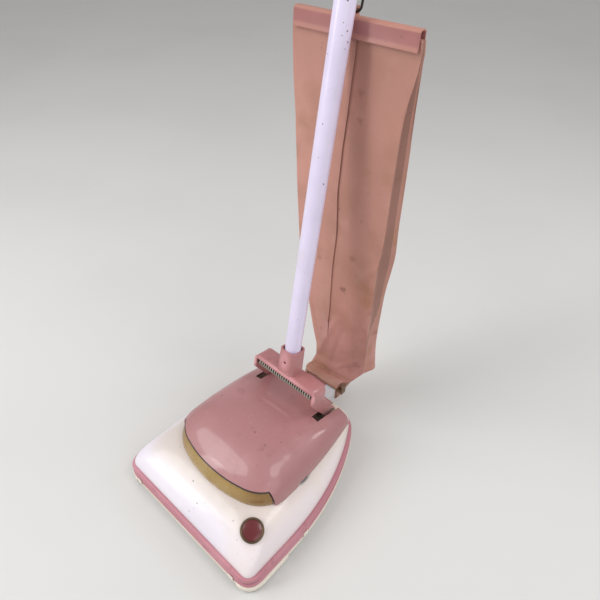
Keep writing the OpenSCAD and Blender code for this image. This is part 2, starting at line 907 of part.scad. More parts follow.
// Oblong wire link from the band's ear down to the clip's lug
module bag_hook() {
    top = ear_place();
    low = [0, clip_at, lug_z];
    run = top - low;
    len = norm(run) + ear_hole - hook_wire - 0.3;
    half = len / 2 - hook_half;
    color(dark) from_front() translate((top + low) / 2) rotate([-atan2(run[1], run[2]), 0, 0]) {
        for (s = [-1, 1]) translate([s * hook_half, 0, -half]) cylinder(d = hook_wire, h = 2 * half, $fn = 24);
        for (a = [0, 180]) rotate([0, a, 0]) translate([0, 0, half - eps]) rotate([90, 0, 0])
            rotate_extrude(angle = 180, $fn = 48) translate([hook_half, 0]) circle(d = hook_wire, $fn = 24);
    }
}

// Folded channel with a flared front lip
module bag_clip() {
    d = clip_d / 2;
    top = seam_z + clip_top;
    flare = 1.5;
    color(pink) from_front() difference() {
        union() {
            translate([-bag_w / 2 + 2, clip_at, top]) rotate([90, 0, 90]) linear_extrude(bag_w - 4) polygon([
                [d, -clip_h + 2], [d, -1.6], [d - 1.6, 0], [-d + 1.6, 0], [-d, -1.6],
                [-d, -clip_h + 3.6], [-d - flare, -clip_h + 1], [-d - flare, -clip_h],
                [-d - flare + clip_t, -clip_h], [-d + clip_t, -clip_h + 3.2], [-d + clip_t, -2],
                [-d + 2, -clip_t], [d - 2, -clip_t], [d - clip_t, -2], [d - clip_t, -clip_h + 2]
            ]);
            block([-ear_t / 2, clip_at - 3, top - clip_t], [ear_t / 2, clip_at + 3, top + lug_h]);
        }
        translate([0, clip_at, lug_z]) bar_x(ear_hole, 2 * ear_t);
    }
}

// Cross section of the bag: front edge, back edge and the gusset drawn in between them
function bag_ring(front_w, front, back_w, back, gusset_w) =
    let (mid = (front + back) / 2)
    [
        [-front_w, front[0], front[1]], [front_w, front[0], front[1]],
        [gusset_w, mid[0], mid[1]],
        [back_w, back[0], back[1]], [-back_w, back[0], back[1]],
        [-gusset_w, mid[0], mid[1]]
    ];

// The bag hangs from its clip, fills out, narrows and turns forward into its neck
module bag() {
    w = bag_w / 2;
    top = seam_z + clip_top - clip_t - 0.6;
    low = spout_top;
    tall = top - low;
    y = clip_at;
    in = clip_d / 2 - clip_t - 0.4;
    neck = spout_end + seat;
    half = spout_w / 2 + 2;
    deep = bag_deep;
    lower = top - clip_h;
    color(vinyl) from_front() capped_skin([
        bag_ring(half, [neck, low], half, [neck, low - spout_h], half + 0.5),
        bag_ring(half + 2, [y - 1, low + 1], half + 2, [y - 1, low - spout_h], half + 2),
        bag_ring(half + 4, [y, low + 4], w - 18, [y + deep - 3, low + 12], half + 6),
        bag_ring(w - 27, [y - 1, low + 30], w - 19, [y + deep - 1, low + 34], w - 25),
        bag_ring(w - 16, [y - 2, low + tall * 0.24], w - 15, [y + deep, low + tall * 0.24], w - 21),
        bag_ring(w - 8, [y - 3, low + tall * 0.48], w - 7, [y + deep - 2, low + tall * 0.48], w - 14),
        bag_ring(w - 5, [y - 3, low + tall * 0.64], w - 5, [y + deep - 5, low + tall * 0.64], w - 12),
        bag_ring(w - 2, [y - 2, low + tall * 0.83], w - 2, [y + deep / 2 - 1, low + tall * 0.83], w - 8),
        bag_ring(w, [y - in + 0.2, lower - 1], w, [y + in, lower - 1], w - 1),
        bag_ring(w, [y - in, top], w, [y + in, top], w - 0.5)
    ]);
}

module bag_spout() {
    x = spout_w / 2;
    color(pink) from_front() difference() {
        block([-x, spout_start, spout_low], [x, spout_end, spout_top]);
        block([-x + spout_t, spout_start - 1, spout_low + spout_t],
              [x - spout_t, spout_end + 1, spout_top - spout_t]);
    }
}

// Metal strip round the spout with a bent finger tab on its right
module bag_clamp() {
    x = spout_w / 2 + 0.1;
    t = clamp_t;
    near = spout_end - clamp_from_end - clamp_d;
    far = near + clamp_d;
    side = x + clamp_tab;
    color(steel) from_front() {
        difference() {
            block([-x - t, near, spout_low - 0.1 - t], [x + t, far, spout_top + 0.1 + t]);
            block([-x, near - 1, spout_low - 0.1], [x, far + 1, spout_top + 0.1]);
        }
        block([x + t - eps, near, spout_top + 0.1 - t], [side, far, spout_top + 0.1 + t]);
        block([side - t, near, spout_top + 0.1 - t], [side, far, spout_top + clamp_rise]);
    }
}

// The battery

module cell(s) {
    nub = 1.2;
    from_front() translate([s * (cell_len / 2 + cell_gap / 2), cell_at, cell_z]) rotate([0, 90, 0]) {
        cylinder(d = cell_d, h = cell_len - 2 * nub, center = true);
        translate([0, 0, cell_len / 2 - nub - eps]) cylinder(d = 9, h = nub);
    }
}

module battery_left() {
    color([0.2, 0.3, 0.5]) cell(-1);
}

module battery_right() {
    color([0.2, 0.3, 0.5]) cell(1);
}

module battery_cradle() {
    out = cradle_wall;
    color(steel) from_front() difference() {
        block([-cradle_x - out, cell_at - cradle_y - out, pan_top + eps],
              [cradle_x + out, cell_at + cradle_y + out, cradle_top]);
        block([-cradle_x, cell_at - cradle_y, 0], [cradle_x, cell_at + cradle_y, cradle_top + 1]);
    }
}

// A plate at one end and a plate with a raised tongue at the other
module battery_contacts() {
    r = 9;
    left = -cell_len - cell_gap / 2 + 1.2 - 0.2;
    right = cell_len + cell_gap / 2 + 0.2;
    color(brass) from_front() {
        block([right, cell_at - r, cell_z - r], [cradle_x - 0.2, cell_at + r, cell_z + r]);
        block([-cradle_x + 0.2, cell_at - r, cell_z - r],
              [-cradle_x + 0.2 + contact_t, cell_at + r, cell_z + r]);
        block([-cradle_x + 0.2 + contact_t - eps, cell_at - 4, cell_z - 4], [left, cell_at + 4, cell_z + 4]);
    }
}

module battery_door() {
    top = pan_z - door_gap;
    color(cream) from_front() {
        block([-door_w / 2, door_y, top - door_t], [door_w / 2, door_y + door_len, top]);
        for (k = [0 : 2]) translate([0, door_y + door_len - 5 - 4 * k, top - door_t - 0.6])
            cube([30, 1.6, 1.2 + eps], center = true);
    }
}

// The blower

module on_fan() {
    from_front() translate([0, fan_at, fan_z]) children();
}

module motor_can() {
    color(steel) on_fan() translate([-fan_w / 2 - 2.5, 0, 0]) difference() {
        union() {
            translate([-motor_len / 2, 0, 0]) bar_x(motor_d, motor_len);
            bar_x(9, 3);
            translate([-motor_len, 0, 0]) bar_x(8, 4);
        }
        bar_x(shaft_d + 2 * turn_fit, 10);
    }
}

module motor_bracket() {
    len = motor_len - 8;
    mid = -fan_w / 2 - 2.5 - motor_len / 2;
    wide = motor_d + 4;
    color(steel) from_front() difference() {
        block([mid - len / 2, fan_at - wide / 2, pan_top + eps], [mid + len / 2, fan_at + wide / 2, fan_z - 5]);
        translate([mid, fan_at, fan_z]) bar_x(motor_d + 2 * fixed_fit, len + 2);
    }
}

module motor_shaft() {
    color(steel) on_fan() translate([-fan_w / 2 - 6, 0, 0]) rotate([0, 90, 0])
        cylinder(d = shaft_d, h = fan_w / 2 + 15);
}

module fan_impeller() {
    color(dark) on_fan() difference() {
        union() {
            translate([-9, 0, 0]) bar_x(impeller_d, 1.4);
            bar_x(9, 18);
            for (k = [0 : blades - 1]) rotate([360 * k / blades, 0, 0])
                block([-9, 3, -0.5], [9, impeller_d / 2, 0.5]);
        }
        bar_x(shaft_d + 2 * fixed_fit, 40);
    }
}

module fan_housing() {
    x = fan_w / 2;
    w = fan_wall;
    duct_top = fan_z + fan_d / 2;
    duct_low = spout_low;
    end = spout_start - 0.2;
    color([0.75, 0.73, 0.68]) from_front() difference() {
        union() {
            translate([0, fan_at, fan_z]) bar_x(fan_d, fan_w);
            block([-x, fan_at, duct_low], [x, end, duct_top]);
            block([-10, fan_at - 6, pan_top + eps], [10, fan_at + 6, fan_z - fan_d / 2 + 2]);
        }
        translate([0, fan_at, fan_z]) bar_x(fan_d - 2 * w, fan_w - 2 * w);
        block([-x + w, fan_at, duct_low + w], [x - w, end + 1, duct_top - w]);
        translate([x, fan_at, fan_z]) bar_x(16, 6);
        translate([-x, fan_at, fan_z]) bar_x(shaft_d + 1, 6);
    }
}

// The switch

module switch_body() {
    wall = 1.5;
    x = switch_x + switch_travel / 2;
    color(dark) from_front() difference() {
        block([x - switch_w / 2, switch_y - switch_d / 2, pan_top + eps],
              [x + switch_w / 2, switch_y + switch_d / 2, pan_top + switch_h]);
        block([x - switch_w / 2 + wall, switch_y - switch_d / 2 + wall, 0],
              [x + switch_w / 2 - wall, switch_y + switch_d / 2 - wall, pan_top + switch_h - wall]);
    }
}

module switch_slider() {
    half = switch_d / 2 - 1.5 - 0.15;
    color([0.6, 0.1, 0.1]) from_front() {
        block([switch_x - 3, switch_y - half, pan_top + 0.1], [switch_x + 3, switch_y + half, pan_top + 4]);
        block([switch_x - knob_w / 2, switch_y - knob_w / 2, pan_z - 2.4],
              [switch_x + knob_w / 2, switch_y + knob_w / 2, pan_top + 0.2]);
    }
}

// The running gear

module on_axle() {
    from_front() translate([0, axle_at, wheel_z]) children();
}

module rear_axle() {
    color(steel) on_axle() bar_x(axle_d, wheel_track + wheel_w + 4);
}

module axle_brackets() {
    x = hub_x - 4;
    color(steel) from_front() for (s = [-1, 1]) difference() {
        union() {
            translate([s * x, axle_at, wheel_z]) bar_x(2 * axle_d, bracket_t);
            translate([s * x - bracket_t / 2, axle_at - axle_d, pan_top + eps])
                cube([bracket_t, 2 * axle_d, wheel_z - pan_top]);
        }
        translate([s * x, axle_at, wheel_z]) bar_x(axle_d + 2 * fixed_fit, 10);
    }
}

module axle_caps() {
    color(steel) on_axle() for (s = [-1, 1])
        translate([s * (wheel_track / 2 + wheel_w / 2 + 0.4 + cap_t / 2), 0, 0])
            washer_x(2 * axle_d, axle_d + 2 * fixed_fit, cap_t);
}

module wheel_hub(s) {
    color(cream) on_axle() translate([s * wheel_track / 2, 0, 0]) difference() {
        union() {
            bar_x(hub_d, wheel_w - 3);
            bar_x(10, wheel_w);
        }
        bar_x(axle_d + 2 * turn_fit, wheel_w + 2);
        for (k = [0 : 4]) rotate([72 * k, 0, 0]) translate([0, 7.2, 0]) bar_x(3.6, wheel_w);
    }
}

module wheel_hub_left() {
    wheel_hub(-1);
}

module wheel_hub_right() {
    wheel_hub(1);
}

// Tyre with a shoulder round each edge
module tyre(s) {
    r = wheel_d / 2;
    w = wheel_w / 2;
    in = hub_d / 2 + fixed_fit;
    color(dark) on_axle() translate([s * wheel_track / 2, 0, 0]) rotate([0, 90, 0]) rotate_extrude()
        polygon([[in, -w + 1], [r - 2, -w], [r, -w + 2], [r, w - 2], [r - 2, w], [in, w - 1]]);
}

module tyre_left() {
    tyre(-1);
}

module tyre_right() {
    tyre(1);
}

module front_roller() {
    r = roller_d / 2;
    half = roller_len / 2;
    grooves = 5;
    color(dark) from_front() translate([0, roller_y, roller_z]) difference() {
        bar_x(roller_d, roller_len);
        bar_x(roller_axle_d + 2 * turn_fit, roller_len + 2);
        for (k = [1 : grooves]) translate([-half + roller_len * k / (grooves + 1), 0, 0])
            washer_x(roller_d + 4, roller_d - 2.4, 4);
    }
}

module roller_axle() {
    color(steel) from_front() translate([0, roller_y, roller_z]) bar_x(roller_axle_d, roller_len + 2 * axle_reach);
}

module roller_brackets() {
    x = roller_len / 2 + 2.2 + bracket_t / 2;
    d = 2 * roller_axle_d + 4;
    color(steel) from_front() for (s = [-1, 1]) difference() {
        union() {
            translate([s * x, roller_y, roller_z]) bar_x(d, bracket_t);
            translate([s * x - bracket_t / 2, roller_y - d / 2, pan_top + eps])
                cube([bracket_t, d, roller_z - pan_top]);
        }
        translate([s * x, roller_y, roller_z]) bar_x(roller_axle_d + 2 * fixed_fit, 10);
        translate([s * x, roller_y, pan_top + eps - 10]) cube([10, d + 2, 20], center = true);
    }
}

body_shell();
base_pan();
bumper_strip();
medallion_bezel();
medallion_disc();
hood();
headlight_lens();
lamp_bulb();
lamp_cap();
lamp_reflector();
lamp_bracket();
hinge_bracket();
hinge_rod();
hinge_clips();
yoke();
yoke_spring();
spring_rod();
handle_tube();
tube_rivet();
hand_grip();
hanger_band();
bag_hook();
bag_clip();
bag();
bag_spout();
bag_clamp();
battery_left();
battery_right();
battery_cradle();
battery_contacts();
battery_door();
motor_can();
motor_bracket();
motor_shaft();
fan_impeller();
fan_housing();
switch_body();
switch_slider();
rear_axle();
axle_brackets();
axle_caps();
wheel_hub_left();
wheel_hub_right();
tyre_left();
tyre_right();
front_roller();
roller_axle();
roller_brackets();
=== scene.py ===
import json
import math
import bmesh
import bpy
import numpy as np
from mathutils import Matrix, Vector, noise

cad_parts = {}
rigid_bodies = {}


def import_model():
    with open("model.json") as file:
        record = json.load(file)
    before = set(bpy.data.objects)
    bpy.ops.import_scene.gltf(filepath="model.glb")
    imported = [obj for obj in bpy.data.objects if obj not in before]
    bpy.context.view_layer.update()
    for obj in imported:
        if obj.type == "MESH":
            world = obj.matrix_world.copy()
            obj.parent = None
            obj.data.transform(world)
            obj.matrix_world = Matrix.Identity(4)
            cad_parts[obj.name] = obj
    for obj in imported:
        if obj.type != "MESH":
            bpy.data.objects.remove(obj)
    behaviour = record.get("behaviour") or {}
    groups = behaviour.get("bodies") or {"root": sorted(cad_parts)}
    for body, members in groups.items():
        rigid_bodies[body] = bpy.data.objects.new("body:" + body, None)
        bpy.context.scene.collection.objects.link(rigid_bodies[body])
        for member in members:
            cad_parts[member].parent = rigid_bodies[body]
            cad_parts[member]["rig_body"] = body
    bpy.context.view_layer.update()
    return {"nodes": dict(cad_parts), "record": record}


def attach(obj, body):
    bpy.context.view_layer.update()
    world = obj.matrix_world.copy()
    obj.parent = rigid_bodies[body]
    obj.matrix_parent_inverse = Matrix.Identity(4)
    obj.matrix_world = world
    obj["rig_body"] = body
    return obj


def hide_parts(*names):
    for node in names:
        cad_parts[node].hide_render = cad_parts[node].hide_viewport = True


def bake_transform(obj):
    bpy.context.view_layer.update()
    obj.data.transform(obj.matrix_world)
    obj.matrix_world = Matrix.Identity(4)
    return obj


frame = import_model()

MM = 1000.0  # millimetres in a metre

# Sizes in millimetres, from the part's source. Y is measured from the front edge of the seam.
MID_Y = 123.11100964402162  # middle of the whole length, where the shared frame has its origin

# The body, and its opening under the hood
BODY_W, BODY_LEN, SEAM_Z, BODY_RISE, SHEET = 178.0, 196.0, 22.0, 26.5, 1.5
PLATEAU = SEAM_Z + BODY_RISE
FRONT_SLOPE, SIDE_SLOPE, REAR_SLOPE = 34.0, 28.0, 20.0
SIDE_RUN, SIDE_RADIUS = 55.0, 260.0
FRONT_POWER, SIDE_POWER = 1.6, 1.9
FRONT_CORNER, CORNER_GROW, REAR_CORNER = 10.0, 18.0, 12.0
FADE_END, FADE_LEN, FADE_LEAST = 178.0, 88.0, 0.08
OPEN_W, OPEN_FRONT, OPEN_REAR, OPEN_CORNER = 64.0, 66.0, 112.0, 6.0

# The band round the seam: how far its parts stand out, and the ribs as shares
PAN_TOP, BAND_OUT, BAND_ROOT, BAND_GROOVE, BAND_INNER, BAND_GAP = 8.8, 4.5, 2.6, 2.75, 0.1, 0.02
RIB_SHARE, UPPER_RIB, RIB_POWER, GROOVE_FROM = 0.4, 0.9, 3.2, 1.15

# The hood, with its lip, slots and notch
HOOD_W, HOOD_FRONT, HOOD_BACK, HOOD_END, HOOD_TOP, LIP_H = 139.0, 30.0, 176.0, 195.0, 58.0, 42.0
HOOD_BOW, HOOD_CORNER, HOOD_REAR_CORNER, HOOD_CORNER_GROW = 17.0, 24.0, 10.0, 40.0
HOOD_TAPER_Y, HOOD_TAPER_RADIUS, HOOD_DIP, CREST_Y = 80.0, 480.0, 4.0, 90.0
DOME_FRONT, DOME_SIDE, DOME_REAR, DOME_CLOSED = 2.05, 2.6, 1.65, 0.9985
POST_Y, SLOT_Y, SLOT_W, SLOT_MID = 57.5, 142.0, 8.1, 40.95
NOTCH_Y, NOTCH_LEN, NOTCH_H = 88.0, 15.0, 1.0
SEAT, EDGE_LINE, HOOD_RIM = 0.3, 0.9, 0.45
SHOULDER_PASSES, SHOULDER_BEHIND, SHOULDER_UNDER = 30, 8.0, 6.0
PAINTED_UNDER, PAINTED_BEHIND = 0.8, 3.0

# The lens behind the lip
LENS_T, LENS_BEHIND_LIP, LENS_GAP, LENS_RIM = 1.8, 4.0, 0.3, 0.4

# The handle's lean and pivot, and the spring under the yoke's lip in the handle's own frame
LEAN = math.radians(10.7)
PIVOT_Y, PIVOT_UP = 169.0, 7.5
PIVOT = (0.0, PIVOT_Y, PLATEAU + PIVOT_UP)
SPRING_TURNS, SPRING_D, WIRE_D, SPRING_LEN = 24, 8.0, 1.2, 73.0
BAR_FRONT, YOKE_TOP, LIP_DROP, SPRING_IN, SPRING_DOWN = -38.4, 49.4, 5.0, 0.4, 0.8
SPRING_Y = BAR_FRONT + SPRING_IN + SPRING_D / 2
SPRING_Z = YOKE_TOP - LIP_DROP - SPRING_DOWN - SPRING_D / 2

# How finely the shapes are stepped, and angles in degrees for shading and rounding edges
FRONT_STEPS, CORNER_STEPS, SIDE_STEPS, REAR_STEPS = 30, 20, 36, 10
BODY_STEPS, RIB_STEPS, HOOD_STEPS, LENS_STEPS = 20, 12, 36, 14
WIRE_STEPS, WIRE_SIDES = 24, 12
TANGENT_STEP = 0.5
CRISP, SHELL_CRISP, RIM_ANGLE, ROUND_FROM, FLAT_WITHIN = 35.0, 40.0, 50.0, 30.0, 1.0
WELD, ON_PLANE = 2e-5, 1e-6  # metres


def place(x, y, z):
    """Millimetres from the front edge to metres in the shared frame."""
    return (x / MM, (y - MID_Y) / MM, z / MM)


def in_mm(point):
    """Metres in the shared frame to millimetres from the front edge."""
    return point.x * MM, point.y * MM + MID_Y, point.z * MM


def on_handle(x, y, z):
    """Millimetres in the handle's own frame to metres in the shared frame."""
    c, s = math.cos(LEAN), math.sin(LEAN)
    return place(PIVOT[0] + x, PIVOT[1] + y * c + z * s, PIVOT[2] - y * s + z * c)


# ---------------------------------------------------------------- materials

def srgb(r, g, b):
    """A colour of 0 to 255 as linear values."""
    def lin(v):
        v /= 255.0
        return v / 12.92 if v <= 0.04045 else ((v + 0.055) / 1.055) ** 2.4
    return (lin(r), lin(g), lin(b), 1.0)


# Marks that the surfaces show. Spots, chips and scuffs: place in metres, radius in millimetres
BODY_SPOTS = [
    (place(-10.5, 22.6, 45.5), 0.7), (place(6.8, 8.3, 35.8), 0.5), (place(6.9, 12.4, 39.4), 0.7),
    (place(3.3, 4.3, 31.2), 0.8), (place(47.6, 22.1, 45.2), 0.5), (place(14.0, 16.8, 42.5), 0.4),
]
TUBE_CHIPS = [
    (place(7.6, 204.5, 414.3), 0.6), (place(5.8, 201.0, 411.8), 0.4), (place(8.0, 205.3, 407.3), 0.6),
    (place(7.7, 202.7, 403.2), 0.4), (place(-2.8, 196.5, 399.3), 0.4), (place(2.0, 187.5, 352.9), 0.5),
    (place(2.8, 183.1, 328.0), 0.4), (place(5.3, 156.2, 177.7), 0.4), (place(5.3, 165.4, 226.5), 0.3),
]
HOOD_SCUFFS = [
    (place(12.0, 86.7, 79.8), 1.1), (place(29.0, 83.5, 78.6), 0.9), (place(6.6, 87.9, 79.9), 0.7),
    (place(31.0, 79.0, 78.0), 0.7),
]
# Pressed creases and edges with painted highlights along them: start, end, half width, how far each stands
# out, and how much it covers
HOOD_CREASE_HIGHLIGHTS = [
    (place(-24.0, 122.4, 77.1), place(34.0, 124.8, 76.5), 3.2, 0.4, 0.5),
    (place(4.0, 88.6, 79.8), place(32.0, 82.8, 78.4), 0.8, 0.2, 0.4),
]
YOKE_HIGHLIGHTS = [
    (on_handle(-46.0, -38.6, 47.4), on_handle(46.0, -38.6, 47.4), 3.8, 0.0, 0.95),
    (on_handle(-40.0, -38.6, 50.0), on_handle(-40.0, -37.0, 32.0), 3.4, 0.0, 0.9),
    (on_handle(40.0, -38.6, 50.0), on_handle(40.0, -37.0, 32.0), 3.4, 0.0, 0.9),
    (on_handle(-1.0, -40.0, 46.0), on_handle(-1.0, -39.0, 82.0), 9.0, 0.0, 0.6),
]
# Painted shadow under the hood's notch, and painted shade on the strip of the bag beside its pleat: start,
# end, half width
NOTCH_SHADOW = (place(68.7, 85.0, 46.6), place(68.1, 106.5, 46.6), 3.0)
BAG_SHADE = (place(17.0, 218.0, 440.0), place(4.0, 218.0, 130.0), 24.0)
# Stains of the bag: place, radius, colour
DARK_STAIN, YELLOW_STAIN, RUST_STAIN = (96, 60, 46), (158, 110, 62), (128, 78, 58)
BAG_STAINS = [
    (place(8.6, 218.0, 176.6), 3.2, DARK_STAIN), (place(35.9, 219.0, 189.4), 5.5, YELLOW_STAIN),
    (place(37.3, 219.0, 175.0), 6.0, YELLOW_STAIN), (place(44.5, 220.0, 163.5), 3.6, RUST_STAIN),
    (place(-6.2, 218.0, 127.6), 3.0, RUST_STAIN), (place(32.3, 220.0, 84.2), 4.0, RUST_STAIN),
    (place(-23.5, 218.0, 200.3), 2.6, RUST_STAIN), (place(16.8, 217.5, 219.1), 3.0, RUST_STAIN),
    (place(40.3, 238.0, 124.0), 3.6, RUST_STAIN), (place(12.9, 218.5, 369.7), 2.4, RUST_STAIN),
    (place(14.0, 218.0, 349.4), 2.6, RUST_STAIN),
]

COAT_ROUGHNESS = 0.1
NOISE_LOW, NOISE_HIGH = 0.3, 0.7  # the range that a noise fills
ROUGH_SCALE, WARP_SCALE, GRAIN_SCALE = 60.0, 260.0, 220.0
STREAK_CORE = 0.2  # share of a streak's half width that is fully covered
SPECK_EDGE = 0.025
DIRT_SEED = (0.4, 0.2, 0.9)


class Painter:
    """Builds one procedural material, layer over layer.

    Lengths are in millimetres, noise scales are per metre, and top is the most that a layer covers.
    """

    def __init__(self, name, colour, metal=0.0, coat=0.0):
        self.mat = bpy.data.materials.new(name)
        self.mat.use_nodes = True
        self.tree = self.mat.node_tree
        self.bsdf = self.tree.nodes["Principled BSDF"]
        self.constant("Metallic", metal)
        self.constant("Coat Weight", coat)
        self.constant("Coat Roughness", COAT_ROUGHNESS)
        self.where = self.node("ShaderNodeTexCoord").outputs["Object"]
        self.base = srgb(*colour)
        self.colour = None
        self.normal = None
        self.warped = None

    def constant(self, socket, value):
        self.bsdf.inputs[socket].default_value = value

    def node(self, kind):
        return self.tree.nodes.new(kind)

    def link(self, a, b):
        self.tree.links.new(a, b)

    def noise(self, scale, detail=3.0, stretch=None, seed=(0, 0, 0)):
        move = self.node("ShaderNodeMapping")
        move.inputs["Location"].default_value = seed
        if stretch:
            move.inputs["Scale"].default_value = stretch
        self.link(self.where, move.inputs["Vector"])
        tex = self.node("ShaderNodeTexNoise")
        tex.inputs["Scale"].default_value = scale
        tex.inputs["Detail"].default_value = detail
        self.link(move.outputs["Vector"], tex.inputs["Vector"])
        return tex.outputs["Fac"]

    def axis_value(self, axis):
        split = self.node("ShaderNodeSeparateXYZ")
        self.link(self.where, split.inputs["Vector"])
        return split.outputs[axis]

    def ramp(self, fac, low, high, top):
        """Goes smoothly from 0 at low to top at high."""
        ramp = self.node("ShaderNodeMapRange")
        ramp.interpolation_type = "SMOOTHSTEP"
        ramp.inputs["From Min"].default_value = low
        ramp.inputs["From Max"].default_value = high
        ramp.inputs["To Min"].default_value = 0.0
        ramp.inputs["To Max"].default_value = top
        self.link(fac, ramp.inputs["Value"])
        return ramp.outputs["Result"]

    def blend(self, fac, colour):
        """Lays a colour over what is there."""
        mix = self.node("ShaderNodeMix")
        mix.data_type = "RGBA"
        self.link(fac, mix.inputs["Factor"])
        if self.colour is None:
            mix.inputs["A"].default_value = self.base
        else:
            self.link(self.colour, mix.inputs["A"])
        mix.inputs["B"].default_value = srgb(*colour)
        self.colour = mix.outputs["Result"]
        return self

    def mottle(self, colour, scale, low, high, top, stretch=None, detail=3.0, seed=(0, 0, 0)):
        """Patches of a colour, which come in where a noise goes from low to high."""
        return self.blend(self.ramp(self.noise(scale, detail, stretch, seed), low, high, top), colour)

    def along(self, axis, start, end, colour, top=1.0):
        """A colour that comes in along one axis, from start to end."""
        return self.blend(self.ramp(self.axis_value(axis), start / MM, end / MM, top), colour)

    def line(self, axis, middle, half, colour, top):
        """A stripe across one axis, such as painted shade in a groove between two ribs."""
        value = self.axis_value(axis)
        off = self.node("ShaderNodeMath")
        off.operation = "SUBTRACT"
        off.inputs[1].default_value = middle / MM
        self.link(value, off.inputs[0])
        far = self.node("ShaderNodeMath")
        far.operation = "ABSOLUTE"
        self.link(off.outputs["Value"], far.inputs[0])
        return self.blend(self.ramp(far.outputs["Value"], half / MM, half / MM / 4, top), colour)

    def warp(self, amount):
        """Coordinates that wander by up to half the amount, for ragged marks."""
        tex = self.node("ShaderNodeTexNoise")
        tex.inputs["Scale"].default_value = WARP_SCALE
        self.link(self.where, tex.inputs["Vector"])
        shift = self.node("ShaderNodeVectorMath")
        shift.operation = "MULTIPLY_ADD"
        shift.inputs[1].default_value = (amount / MM,) * 3
        self.link(tex.outputs["Color"], shift.inputs[0])
        self.link(self.where, shift.inputs[2])
        back = self.node("ShaderNodeVectorMath")
        back.operation = "SUBTRACT"
        back.inputs[1].default_value = (amount / MM / 2,) * 3
        self.link(shift.outputs["Vector"], back.inputs[0])
        self.warped = back.outputs["Vector"]

    def streak(self, start, end, half, colour, top, raised=0.0):
        """A line on the surface: a painted highlight along an edge or a pressed crease, or painted shade
        and shadow.
        """
        a, b = Vector(start), Vector(end)
        near = self.node("ShaderNodeMapping")
        near.vector_type = "TEXTURE"
        near.inputs["Location"].default_value = (a + b) / 2
        near.inputs["Rotation"].default_value = (b - a).to_track_quat("X", "Z").to_euler()
        near.inputs["Scale"].default_value = ((b - a).length / 2, half / MM, half / MM)
        self.link(self.where, near.inputs["Vector"])
        far = self.node("ShaderNodeVectorMath")
        far.operation = "LENGTH"
        self.link(near.outputs["Vector"], far.inputs[0])
        share = self.ramp(far.outputs["Value"], 1.0, STREAK_CORE, top)
        if raised:
            self.raise_by(share, raised, 1.0)
        return self.blend(share, colour)

    def raise_by(self, height, deep, strength):
        """Lets a layer stand out, on top of what stands out already."""
        bump = self.node("ShaderNodeBump")
        bump.inputs["Strength"].default_value = strength
        bump.inputs["Distance"].default_value = deep / MM
        self.link(height, bump.inputs["Height"])
        if self.normal is not None:
            self.link(self.normal, bump.inputs["Normal"])
        self.normal = bump.outputs["Normal"]
        return self

    def mark(self, point, radius, colour, top, soft=0.6, warp=2.0):
        """A stain or chip about one point of the surface."""
        if self.warped is None:
            self.warp(warp)
        far = self.node("ShaderNodeVectorMath")
        far.operation = "DISTANCE"
        far.inputs[1].default_value = point
        self.link(self.warped, far.inputs[0])
        r = radius / MM
        return self.blend(self.ramp(far.outputs["Value"], r * (1 + soft), r * (1 - soft), top), colour)

    def rough(self, low, high):
        """Roughness that wanders between low and high."""
        wide = self.node("ShaderNodeMapRange")
        wide.inputs["From Min"].default_value = NOISE_LOW
        wide.inputs["From Max"].default_value = NOISE_HIGH
        wide.inputs["To Min"].default_value = low
        wide.inputs["To Max"].default_value = high
        self.link(self.noise(ROUGH_SCALE), wide.inputs["Value"])
        self.link(wide.outputs["Result"], self.bsdf.inputs["Roughness"])
        return self

    def bump(self, scale, deep, strength, detail=3.0):
        """An uneven surface."""
        return self.raise_by(self.noise(scale, detail), deep, strength)

    def done(self):
        """Links the layers to the shader."""
        if self.colour is None:
            self.constant("Base Color", self.base)
        else:
            self.link(self.colour, self.bsdf.inputs["Base Color"])
        if self.normal is not None:
            self.link(self.normal, self.bsdf.inputs["Normal"])
        return self.mat


def specks(p, colour, scale, low, top=0.85, seed=(0.3, 0.1, 0.7)):
    """Small sharp spots all over."""
    return p.mottle(colour, scale, low, low + SPECK_EDGE, top, detail=1.0, seed=seed)


def plain(name, colour, tone, low, high, metal=0.0, deep=0.15, coat=0.0, clear=0.0):
    """A worn surface of one colour with a second tone; low and high bound its roughness."""
    p = Painter(name, colour, metal, coat)
    p.constant("Transmission Weight", clear)
    p.mottle(tone, 45.0, 0.42, 0.72, 0.5).mottle(tone, 340.0, 0.6, 0.75, 0.4)
    return p.rough(low, high).bump(GRAIN_SCALE, deep, 0.25).done()


def white_body():
    p = Painter("white_paint", (234, 227, 235), coat=0.3)
    p.mottle((218, 211, 226), 14.0, 0.4, 0.7, 0.5)
    p.mottle((226, 214, 196), 20.0, 0.54, 0.78, 0.55, seed=(0.2, 0.5, 0.1))
    # Painted shade: greyer up the slopes. Yellowed towards the rear
    p.along("Z", 37.0, 47.5, (210, 198, 190), 0.9)
    p.along("Y", 5.0, 60.0, (232, 217, 190), 0.6)
    p.mottle((186, 168, 140), 150.0, 0.67, 0.76, 0.5, detail=4.0)
    specks(p, (74, 60, 50), 300.0, 0.775)
    # Darker along the seam, and a warmer right side
    p.along("Z", 22.9, 22.2, (96, 72, 74), 0.6)
    p.along("X", 40.0, 80.0, (236, 221, 215), 0.55)
    # Painted shadow under the hood's notch
    p.streak(*NOTCH_SHADOW, (36, 28, 28), 1.0)
    for point, radius in BODY_SPOTS:
        p.mark(point, radius, (70, 56, 46), 0.85)
    return p.rough(0.28, 0.46).bump(25.0, 0.6, 0.12).bump(500.0, 0.06, 0.2).done()


